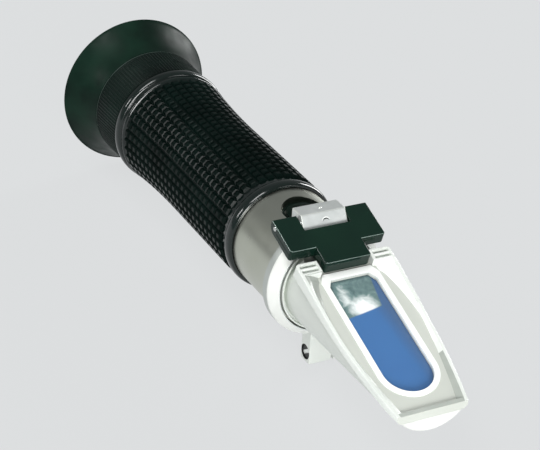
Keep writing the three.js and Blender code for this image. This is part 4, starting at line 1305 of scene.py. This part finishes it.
@dataclass
class Head:
    """Turned head with the sloping face, and the prism bedded in it."""

    rear: float = -58.5
    spigot_radius: float = 10.1
    bore: float = 8.45
    flange_radius: float = 12.6
    flange_front: float = -48.9
    flange_rear: float = -50.6
    groove_radius: float = 12.2
    groove_depth: float = 1.1
    cone_rear_radius: float = 11.6
    nose_radius: float = 10.65
    web_bore: float = 6.4
    bore_front: float = -42.0
    pocket_half: float = 7.3
    prism_half: float = 7.1
    prism_rear: float = -43.15
    prism_front: float = -5.9

    def turned_body(self) -> Shape:
        """Builds the flanged cone, cut by the sloping face, with the pocket for the prism.

        Returns:
            The closed head.
        """
        rear, front, rim = self.flange_rear, self.flange_front, self.flange_radius
        groove = front - self.groove_depth
        profile = [(self.rear, 0), (self.rear, self.spigot_radius), (rear, self.spigot_radius)]
        profile += [(rear, rim - 0.15), (rear + 0.12, rim), (front - 0.12, rim), (front, rim - 0.12)]
        profile += [(front, self.groove_radius), (groove, self.groove_radius)]
        profile += [(groove, self.cone_rear_radius), (front, self.cone_rear_radius)]
        profile += [(-0.25, self.nose_radius), (0, self.nose_radius - 0.25), (0, 0)]
        slope = [(front, 60), (front, self.face_height(front)), (20.0, self.face_height(20.0)), (20.0, 60)]
        above = Shape.slab(slope, -40, 40, Plane.SIDE)
        bore = [(self.rear - 1, 0), (self.rear - 1, self.bore), (rear, self.bore), (rear, self.web_bore)]
        bore += [(self.bore_front, self.web_bore), (self.bore_front, 0)]
        low = (self.bore_front - 0.2, -self.pocket_half, -LAYOUT.chord_drop - 1.2)
        cuts = (above, Shape.turned(bore, PLAIN_STEPS), Shape.box(low, (-4.6, self.pocket_half, 20)))
        return Shape.turned(profile).combined(Join.CUT, *cuts).softened(0.12, 2, 40, self.in_front)

    def in_front(self, edge: Edge) -> bool:
        """Tells whether an edge runs round the nose or the sloping face."""
        place = edge_middle(edge)
        return place.x > -4 or (place.x > self.flange_front + 0.4 and place.z > -6)

    def face_height(self, x: float) -> float:
        """Finds the height of the sloping face."""
        return -x * math.tan(LAYOUT.tilt) - LAYOUT.chord_drop

    def glass(self) -> Shape:
        """Builds the prism with its lightly chamfered edges.

        Returns:
            The closed prism in its place.
        """
        rear, front, half = self.prism_rear, self.prism_front, self.prism_half
        outline = [(rear, 0.0), (front, 0.0), (front - 1.1, -2.2), (rear + 4, -10.5)]
        return Shape.slab(outline, -half, half, Plane.SIDE).on_slope().softened(0.15, 1)

    def gasket(self) -> Shape:
        """Builds the thin frame of rubber that beds the prism.

        Returns:
            The closed frame in its place.
        """
        half, hole = self.pocket_half - 0.05, self.prism_half + 0.03
        outer = Shape.box((self.prism_rear - 0.75, -half, -1.6), (self.prism_front + 0.75, half, -0.1))
        inner = Shape.box((self.prism_rear - 0.1, -hole, -3), (self.prism_front + 0.1, hole, 2))
        return outer.combined(Join.CUT, inner).softened(0.08, 1).on_slope()

    def build(self) -> None:
        """Places the head, the prism and its bedding."""
        body = self.turned_body()
        # The nose faces take the brighter nickel as a painted highlight.
        body.paint(1, lambda f: f.normal.x > 0.5 and f.calc_center_median().x > -0.3)
        head = Piece("prism_head_turned", Body.BARREL, HEAD_NICKEL_AND_HIGHLIGHT, Slot.SILVER, ("prism_head",))
        head.place(body, [PAINTED_LIGHT_NICKEL])
        prism = Piece("prism_polished", Body.BARREL, BLUE_GLASS, Slot.BLUE_GLASS, ("prism",), 20.0)
        prism.place(self.glass())
        Piece("prism_bedding", Body.BARREL, CUP_RUBBER, Slot.RUBBER, ("prism_gasket",)).place(self.gasket())


@dataclass
class Flap:
    """Daylight plate, the black block that carries it, and the pin."""

    block_half: float = 12.8
    block_rise: float = 1.0
    block_reach: float = 8.75
    tongue_reach: float = 14.15
    tongue_half: float = 6.2
    underside: float = 0.3
    thickness: float = 0.9
    nose_half: float = 9.1
    rear_half: float = 12.7
    flare: float = 2.5
    rear_reach: float = 11.1
    shoulder_reach: float = 15.0
    rail: float = 1.0
    rail_rise: float = 0.9
    rail_drop_share: float = 0.55
    ear_rise: float = 2.2
    ear_pocket: float = 1.0
    ear_wall: float = 0.75
    rib: float = 0.6
    window_half: float = 6.35
    border: float = 1.45
    border_rear: float = 1.9
    border_rise: float = 0.3
    window_rear_reach: float = 16.3
    window_tip: float = -12.95
    window_cut: Point = (2.3, 1.3)
    pad_inner: float = 7.8
    pad_reach_share: float = 0.5
    flank_width: float = 1.35
    flank_end: float = -28.0
    lip_depth: float = 1.75
    pad_foot: float = 0.12
    corner: float = 1.05
    stations: int = 26

    @property
    def top(self) -> float:
        """Upper face of the plate's floor."""
        return self.underside + self.thickness

    @property
    def shoulder(self) -> float:
        """Place where the ears meet the rails."""
        return LAYOUT.pin_in_face + self.shoulder_reach

    @property
    def rear(self) -> float:
        """Rear edge of the ears."""
        return LAYOUT.pin_in_face + self.rear_reach

    @property
    def window_rear(self) -> float:
        """Rear edge of the window."""
        return LAYOUT.pin_in_face + self.window_rear_reach

    def half_width(self, x: float) -> float:
        """Finds the half-width of the plate."""
        share = 1 - (1 - min(1.0, x / self.shoulder)) ** self.flare
        return self.nose_half + (self.rear_half - self.nose_half) * share

    def rail_top(self, x: float) -> float:
        """Finds the height of the rail, which rises to the ear over its rear half.

        Args:
            x: Place along the plate.

        Returns:
            The height there.
        """
        start = self.shoulder * self.rail_drop_share
        share = max(0.0, (x - start) / (self.shoulder - start))
        return self.top + self.rail_rise + (self.ear_rise - self.rail_rise) * share

    def flank(self, x: float) -> float:
        """Finds the width of the slanting inner side of a rail."""
        return 0.15 + self.flank_width * max(0.0, 1 - x / self.flank_end)

    def block(self) -> Shape:
        """Builds the T-shaped block with its rounded rear and soft edges.

        Returns:
            The closed block in its place.
        """
        pin, above, turn = LAYOUT.pin_in_face, LAYOUT.pin_above_face, LAYOUT.hinge_round
        high, front, half = above + self.block_rise, pin + self.block_reach, self.block_half
        hook = arc((pin, above), (turn, turn), 1 - math.asin(self.block_rise / turn) / math.pi, 1.5, 14)
        arms = Shape.slab([(front, high), *hook, (front, above - turn)], -half, half, Plane.SIDE)
        tip = (pin + self.tongue_reach, self.tongue_half, high)
        tongue = Shape.box((front - 1, -self.tongue_half, self.top + 0.3), tip)
        inner = LAYOUT.knuckle_half + 0.15
        notch = Shape.box((pin - 6, -inner, -20), (pin + LAYOUT.web_reach, inner, 20))
        shape = arms.combined(Join.ADD, tongue).combined(Join.CUT, notch)
        shape.softened(0.75, 4, 40, self.upright).softened(0.36, 3, 40)
        # The rounded front edges take a pale painted glint.
        shape.paint(1, self.in_painted_glint)
        shape.on_slope()
        ring = Shape.turned([(-54.7, 0), (-54.7, 15.7), (-51.5, 15.7), (-48.9, 13.9), (-48.9, 0)])
        middle = Shape.box((-80, -LAYOUT.knuckle_half, -30), (10, LAYOUT.knuckle_half, 30))
        spot = (LAYOUT.pin_x, LAYOUT.pin_z)
        flange = [(-54.4, 0), (-54.4, 13.4), (-50.7, 13.4), (-50.7, 13.0), (-48.6, 13.0), (-48.6, 0)]
        cuts = [ring.combined(Join.CUT, middle, Shape.across(turn, spot, -20, 20, 48)), Shape.turned(flange)]
        for wall in (-half, half):
            cuts.append(Shape.box((pin + 1.2, wall - 0.18, 3.3), (front + 1, wall + 0.18, 3.55)).on_slope())
        return shape.combined(Join.CUT, *cuts, Shape.across(LAYOUT.pin_radius + 0.07, spot, -20, 20))

    def upright(self, edge: Edge) -> bool:
        """Tells whether an edge stands upright on the sloping face."""
        run = edge.verts[1].co - edge.verts[0].co
        return abs(run.z) > 0.95 * run.length and run.length > 0.6

    def in_painted_glint(self, face: Face) -> bool:
        """Tells whether a face of the block lies in a rounded front edge that carries a painted glint.

        Args:
            face: Face of the block, drawn on the sloping face.

        Returns:
            True for the middle of such an edge.
        """
        facing, middle = face.normal, face.calc_center_median()
        high = middle.z > LAYOUT.pin_above_face + self.block_rise - 0.4
        front = facing.x > 0.45 or (facing.y < -0.45 and middle.y < -self.block_half + 1.0)
        return high and front and 0.45 < facing.z < 0.9

    def pin(self) -> Shape:
        """Builds the hinge pin with its domed ends."""
        half = self.block_half + 0.15
        return Shape.across(LAYOUT.pin_radius, (LAYOUT.pin_x, LAYOUT.pin_z), -half, half).softened(0.28, 4)

    def floor_outline(self) -> list[Point]:
        """Draws the plate's floor, round its rear corners and past the tongue.

        Returns:
            Corners of the outline.
        """
        places = [self.shoulder * i / self.stations for i in range(self.stations + 1)]
        corner, inner = self.corner, self.tongue_half + 0.3
        right = [(x, self.half_width(x)) for x in places]
        right += arc((self.rear + corner, self.rear_half - corner), (corner, corner), 0.5, 1, 6)
        right += [(self.rear, inner), (self.rear - 1.3, inner)]
        return [*right, *[(x, -y) for x, y in reversed(right)]]

    def window_slab(self, offset: float, rear_offset: float, low: float, high: float) -> Shape:
        """Builds a slab with the outline of the window and its cut rear corners, grown by an offset.

        Args:
            offset: Growth at the sides and round the tip.
            rear_offset: Growth at the rear edge.
            low: Underside of the slab.
            high: Top of the slab.

        Returns:
            The closed slab.
        """
        half, rear = self.window_half + offset, self.window_rear - rear_offset
        along, side = self.window_cut
        round_tip = arc((self.window_tip, 0), (half, half), 0.5, -0.5, 36)
        outline = [(rear, half - side), (rear + along, half), *round_tip, (rear + along, -half)]
        return Shape.slab([*outline, (rear, side - half)], low, high)

    def rail_strip(self, side: int) -> Shape:
        """Builds one rail, which follows the plate's flared side and rises to the ear.

        Args:
            side: One for the right-hand rail, minus one for the left.

        Returns:
            The closed rail.
        """
        low, rings = self.top - 0.5, []
        for i in range(self.stations + 1):
            x = (self.shoulder - 0.5) * i / self.stations
            outer, high = self.half_width(x), self.rail_top(x)
            inner = outer - self.rail
            foot = inner - self.flank(x)
            corners = [(outer, low), (outer, high - 0.3), (outer - 0.09, high - 0.09), (outer - 0.3, high)]
            corners += [(inner + 0.3, high), (inner + 0.09, high - 0.06), (inner, high - 0.2)]
            rings.append(on_side(side, x, [*corners, (foot, self.top + 0.03), (foot, low)]))
        return Shape.swept(rings)

    def ramp(self, side: int) -> Shape:
        """Builds one side ramp, from a curved foot beside the window up to the rail.

        Args:
            side: One for the right-hand ramp, minus one for the left.

        Returns:
            The closed ramp.
        """
        rings = []
        reach = self.window_rear * self.pad_reach_share
        for i in range(self.stations + 1):
            share = (i / self.stations) ** 1.6
            x = (self.shoulder - 0.45) if i == 0 else self.window_rear - reach * share
            wall = self.half_width(x) - self.rail * 0.6
            foot = min(wall - 0.5, self.pad_inner + (wall - self.pad_inner) * share**0.5)
            low, high = self.top + self.pad_foot, self.rail_top(x) - 0.25
            crest = (foot + (wall - foot) * 0.55, low + (high - low) * 0.75)
            corners = [(wall, self.top - 0.4), (foot, self.top - 0.4), (foot, low), crest, (wall, high)]
            rings.append(on_side(side, x, corners))
        return Shape.swept(rings)

    def ear(self, side: int) -> Shape:
        """Builds one ear beside the tongue: a low box with a raised rim and two ribs inside.

        Args:
            side: One for the right-hand ear, minus one for the left.

        Returns:
            The closed ear.
        """
        inner, outer = LAYOUT.knuckle_half + 0.75, self.rear_half
        high = self.top + self.ear_rise
        rear, front = self.rear + 0.1, self.shoulder - 0.2
        outline = [(rear, inner), (front, inner), (front, outer), (rear + 0.9, outer)]
        outline += [(rear + 0.3, outer - 0.3), (rear, outer - 0.9)]
        body = Shape.slab([(x, side * y) for x, y in outline], self.top - 0.6, high).softened(0.3, 3, 40)
        low, far = sorted((side * (inner + self.ear_wall), side * (outer - self.ear_wall)))
        start, floor = rear + self.ear_wall, high - self.ear_pocket
        pocket = Shape.box((start, low, floor), (front + 1, far, high + 2)).softened(0.2, 2)
        ribs = [
            Shape.box((x, low - 0.2, floor - 0.3), (x + self.rib, far + 0.2, high - 0.12)).softened(0.2, 3)
            for x in (start + 0.75, front - self.rib)
        ]
        return body.combined(Join.CUT, pocket).combined(Join.ADD, *ribs)

    def corner_wedge(self, side: int) -> Shape:
        """Builds the wedge that tapers a lower front corner of the plate towards the round nose.

        Args:
            side: One for the right-hand corner, minus one for the left.

        Returns:
            The wedge to be cut away.
        """
        rings = []
        for x, foot in ((-8.0, self.half_width(-8.0) + 0.05), (0.5, self.nose_half - 1.2)):
            rings.append(on_side(side, x, [(foot, -0.2), (foot + 1.9, -0.2), (foot + 1.9, 1.7)]))
        return Shape.swept(rings)

    def plate(self) -> Shape:
        """Joins the floor, the rails, the ramps, the ears and the front lip into one moulding.

        Returns:
            The moulding in its place on the head.
        """
        parts = [make(side) for side in (-1, 1) for make in (self.rail_strip, self.ramp, self.ear)]
        floor = Shape.slab(self.floor_outline(), self.underside, self.top).softened(0.1, 1)
        window = self.window_slab(0.05, 0.05, self.underside - 1, self.top + 1)
        half, high = self.nose_half - 0.15, self.top + self.rail_rise - 0.1
        lip = Shape.box((-self.lip_depth, -half, 0.04), (1.0, half, high)).softened(0.12, 2)
        corners = [self.corner_wedge(side) for side in (-1, 1)]
        whole = floor.combined(Join.ADD, *parts, lip).combined(Join.CUT, window, *corners).on_slope()
        return whole.combined(Join.CUT, Shape.box((0, -40, -60), (60, 40, 60)))

    def finish_number(self, middle: Vector, facing: Vector) -> int:
        """Chooses the finish of one face of the plate.

        Args:
            middle: Middle of the face, in the plane of the sloping face.
            facing: Direction that it faces, in the same plane.

        Returns:
            Zero for the clear floor, one for edge-lit acrylic, two for painted shade and three for white
            acrylic, which on the right-hand ramp and the rear part of the right rail's flank is painted
            light.
        """
        reach, wall = abs(middle.y), self.half_width(middle.x) - self.rail
        raised = middle.z > self.top + 0.05
        # The line along the lip, the ears' rear slots, the front of the right flank and the left ramp take
        # painted shade; the right ramp and the rear of the right flank take painted light.
        if facing.x > 0.6 and middle.x > -1.2:
            return 0
        if -self.lip_depth - 0.1 < middle.x < -0.4 and middle.z > self.top + 0.3 and reach < wall:
            return 2
        if raised and middle.x < self.shoulder - 0.1 and middle.z < self.top + self.ear_rise - 0.4:
            slot = middle.x < self.rear + 1.7 and facing.z > 0.5
            inside = LAYOUT.knuckle_half + 1.3 < reach < self.rear_half - 0.6
            return 2 if slot and inside else 1
        if raised and middle.x > self.flank_end and facing.y < -0.12 and wall - 1.6 < middle.y < wall + 0.05:
            return 2 if middle.x > -15.5 else 1 if middle.x > -19.0 else 3
        in_ramp = self.shoulder - 0.3 < middle.x < self.window_rear * (1 - self.pad_reach_share)
        if raised and in_ramp and reach < wall:
            return 3 if middle.y > 0 else 2
        return 1 if raised or reach > wall else 0

    def build(self) -> None:
        """Places the block, the pin, the plate, its border and the pane that closes the window."""
        block = Piece("hinge_block_moulded", Body.FLAP, HINGE_ACETAL, Slot.BLACK_PLASTIC, ("hinge_block",))
        block.place(self.block(), [GLINT_ACETAL])
        Piece("hinge_pin_domed", Body.FLAP, PLATED_STEEL, Slot.STEEL, ("hinge_pin",)).place(self.pin())
        shape = self.plate()
        inverse = LAYOUT.slope().inverted()
        turn = inverse.to_3x3()
        for face in shape.bm.faces:
            middle = inverse @ face.calc_center_median()
            face.material_index = self.finish_number(middle, (turn @ face.normal).normalized())
        plate = Piece("daylight_plate_moulded", Body.FLAP, CLEAR_ACRYLIC, Slot.CLEAR, ("daylight_plate",))
        plate.place(shape, [EDGE_ACRYLIC, SHADED_ACRYLIC, BORDER_AND_LIGHT_ACRYLIC])
        border = self.window_slab(self.border, self.border_rear, self.top - 0.5, self.top + self.border_rise)
        border = border.combined(Join.CUT, self.window_slab(0.0, 0.0, self.top - 2, self.top + 2))
        border.softened(0.12, 3).on_slope()
        pane = self.window_slab(0.0, 0.0, self.underside, self.top).on_slope()
        Piece("window_border", Body.FLAP, BORDER_AND_LIGHT_ACRYLIC, Slot.CLEAR).place(border)
        Piece("window_pane", Body.FLAP, WINDOW_ACRYLIC, Slot.CLEAR).place(pane)


@dataclass
class Optics:
    """Lens and ring that show from behind, and finishes for all that stays as packed."""

    eye_lens_x: float = -148.4
    lens_radius: float = 9.85
    edge: float = 1.4
    bulge: float = 1.3
    stop_radius: float = 8.65
    ring_depth: float = 2.0
    lens_steps: int = 12

    def eye_lens(self) -> Shape:
        """Builds the eye lens with both faces bulging.

        Returns:
            The closed lens.
        """
        edge_x = self.eye_lens_x - self.edge / 2
        shares = [i / self.lens_steps for i in range(self.lens_steps + 1)]
        rear = [(edge_x - self.bulge * (1 - share**2), self.lens_radius * share) for share in shares]
        front = [(2 * self.eye_lens_x - x, r) for x, r in reversed(rear)]
        return Shape.turned([*rear, *front], PLAIN_STEPS)

    def retainer(self) -> Shape:
        """Builds the notched ring that holds the eye lens.

        Returns:
            The closed ring.
        """
        front, bore = self.eye_lens_x - self.edge / 2 - 0.6, self.stop_radius
        rear = front - self.ring_depth
        profile = [(front, bore), (front, self.lens_radius), (rear, self.lens_radius)]
        profile += [(rear, 9.1), (rear + 0.4, bore)]
        notch = Shape.box((front - 3, -12, -0.6), (front - 1.2, 12, 0.6))
        return Shape.turned(profile, PLAIN_STEPS).combined(Join.CUT, notch)

    def build(self, nodes: dict[str, bpy.types.Object]) -> None:
        """Places the lens and its ring, and dresses the nodes that stay.

        Args:
            nodes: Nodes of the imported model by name.
        """
        Piece("eye_lens_polished", Body.EYEPIECE, LENS_GLASS, Slot.LENS, ("eye_lens",)).place(self.eye_lens())
        name, replaced = "eyepiece_retainer_notched", ("eyepiece_retainer",)
        Piece(name, Body.EYEPIECE, BLACK_ANODISED_AND_SHADE, Slot.BLACK_METAL, replaced).place(self.retainer())
        for finish, names in KEPT_NODES.items():
            for name in names:
                materials = nodes[name].data.materials
                materials.clear()
                materials.append(finish.build())
            LOG.info("%s: kept as packed in %s", ", ".join(names), finish.name)


@dataclass
class Studio:
    """Pale floor, soft lamps and the camera at the photograph's angle."""

    backdrop: str = "#dddfe0"
    table: str = "#d6d8d9"
    glow_share: float = 0.93
    sky: str = "#dcdfe0"
    sky_strength: float = 0.32
    azimuth: float = -28.7745
    elevation: float = 28.8481
    roll: float = 3.6503
    distance: float = 0.441478
    target: Place = (0.004045, 0.0, 0.0228)
    lens: float = 115.449
    floor_size: float = 8.0

    def camera(self) -> None:
        """Sets the camera where the photograph was taken from."""
        a, e, r = (math.radians(v) for v in (self.azimuth, self.elevation, self.roll))
        back = Vector((math.cos(e) * math.cos(a), math.cos(e) * math.sin(a), math.sin(e)))
        right = Vector((0, 0, 1)).cross(back).normalized()
        up = back.cross(right)
        turned_right = right * math.cos(r) + up * math.sin(r)
        turned_up = up * math.cos(r) - right * math.sin(r)
        data = bpy.data.cameras.new("camera")
        data.lens = self.lens
        data.sensor_width = 36.0
        data.clip_start, data.clip_end = 0.01, 50.0
        camera = bpy.data.objects.new("camera", data)
        bpy.context.scene.collection.objects.link(camera)
        frame = Matrix((turned_right, turned_up, back)).transposed().to_4x4()
        camera.matrix_world = Matrix.Translation(Vector(self.target) + back * self.distance) @ frame
        bpy.context.scene.camera = camera

    def floor(self) -> None:
        """Lays the pale floor, which keeps a soft shadow."""
        shape = Shape()
        low = Matrix.Translation((0, 0, -0.0002))
        bmesh.ops.create_grid(shape.bm, x_segments=1, y_segments=1, size=self.floor_size / 2, matrix=low)
        item = bpy.data.objects.new("floor", shape.to_mesh("floor"))
        shape.bm.free()
        bpy.context.scene.collection.objects.link(item)
        material = bpy.data.materials.new("matt_white_table")
        graph = Graph(material)
        rays = graph.add("LightPath").outputs
        seen = graph.sum("MAXIMUM", rays["Is Camera Ray"], rays["Is Glossy Ray"])
        seen = graph.sum("MAXIMUM", seen, rays["Is Transmission Ray"])
        share = graph.sum("MULTIPLY", seen, self.glow_share)
        matt = graph.add("BsdfDiffuse", {"Color": linear(self.table)})
        glow = graph.add("Emission", {"Color": linear(self.backdrop), "Strength": 1.0})
        mix = graph.add("MixShader", {0: share, 1: matt.outputs[0], 2: glow.outputs[0]})
        graph.add("OutputMaterial", {"Surface": mix.outputs[0]})
        item.data.materials.append(material)

    def lamp(self, name: str, place: Place, aim: Place, size: Point, power: float) -> None:
        """Hangs one soft rectangular lamp.

        Args:
            name: Name of the lamp.
            place: Where it hangs, in metres.
            aim: Point that it looks at.
            size: Width and height of its face.
            power: Power in watts.
        """
        data = bpy.data.lights.new(name, "AREA")
        data.shape = "RECTANGLE"
        data.size, data.size_y = size
        data.energy = power
        item = bpy.data.objects.new(name, data)
        bpy.context.scene.collection.objects.link(item)
        item.location = place
        item.rotation_euler = (Vector(place) - Vector(aim)).to_track_quat("Z", "Y").to_euler()

    def light(self) -> None:
        """Hangs the lamps and sets the even surround."""
        self.lamp("key", (0.1, -0.5, 1.2), (0, 0, 0.02), (0.6, 0.6), 8.5)
        self.lamp("front", (1.2, -0.35, 0.25), (0.05, 0, 0.02), (0.6, 0.5), 15.0)
        self.lamp("glint", (1.08, 0.5, 0.17), (0.03, 0, 0.03), (0.25, 0.2), 1.6)
        self.lamp("left", (-0.5, -1.0, 0.55), (-0.02, 0, 0.02), (0.16, 0.3), 2.2)
        self.lamp("right", (-0.45, 1.1, 0.3), (-0.05, 0, 0.02), (0.4, 0.8), 12.0)
        world = bpy.data.worlds.new("surround")
        bpy.context.scene.world = world
        graph = Graph(world)
        sky = graph.add("Background", {"Color": linear(self.sky), "Strength": self.sky_strength})
        graph.add("OutputWorld", {"Surface": sky.outputs[0]})

    def build(self) -> None:
        """Sets up the floor, the light and the camera."""
        bpy.context.scene.view_settings.view_transform = "Standard"
        self.floor()
        self.light()
        self.camera()


def main() -> None:
    """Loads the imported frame, dresses it and sets up the studio."""
    logging.basicConfig(level=logging.INFO, format="%(name)s: %(message)s")
    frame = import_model()
    for part in (Studio(), EyeEnd(), Grip(), Barrel(), Collar(), Head(), Flap()):
        part.build()
    Optics().build(frame["nodes"])


if __name__ == "__main__":
    main()
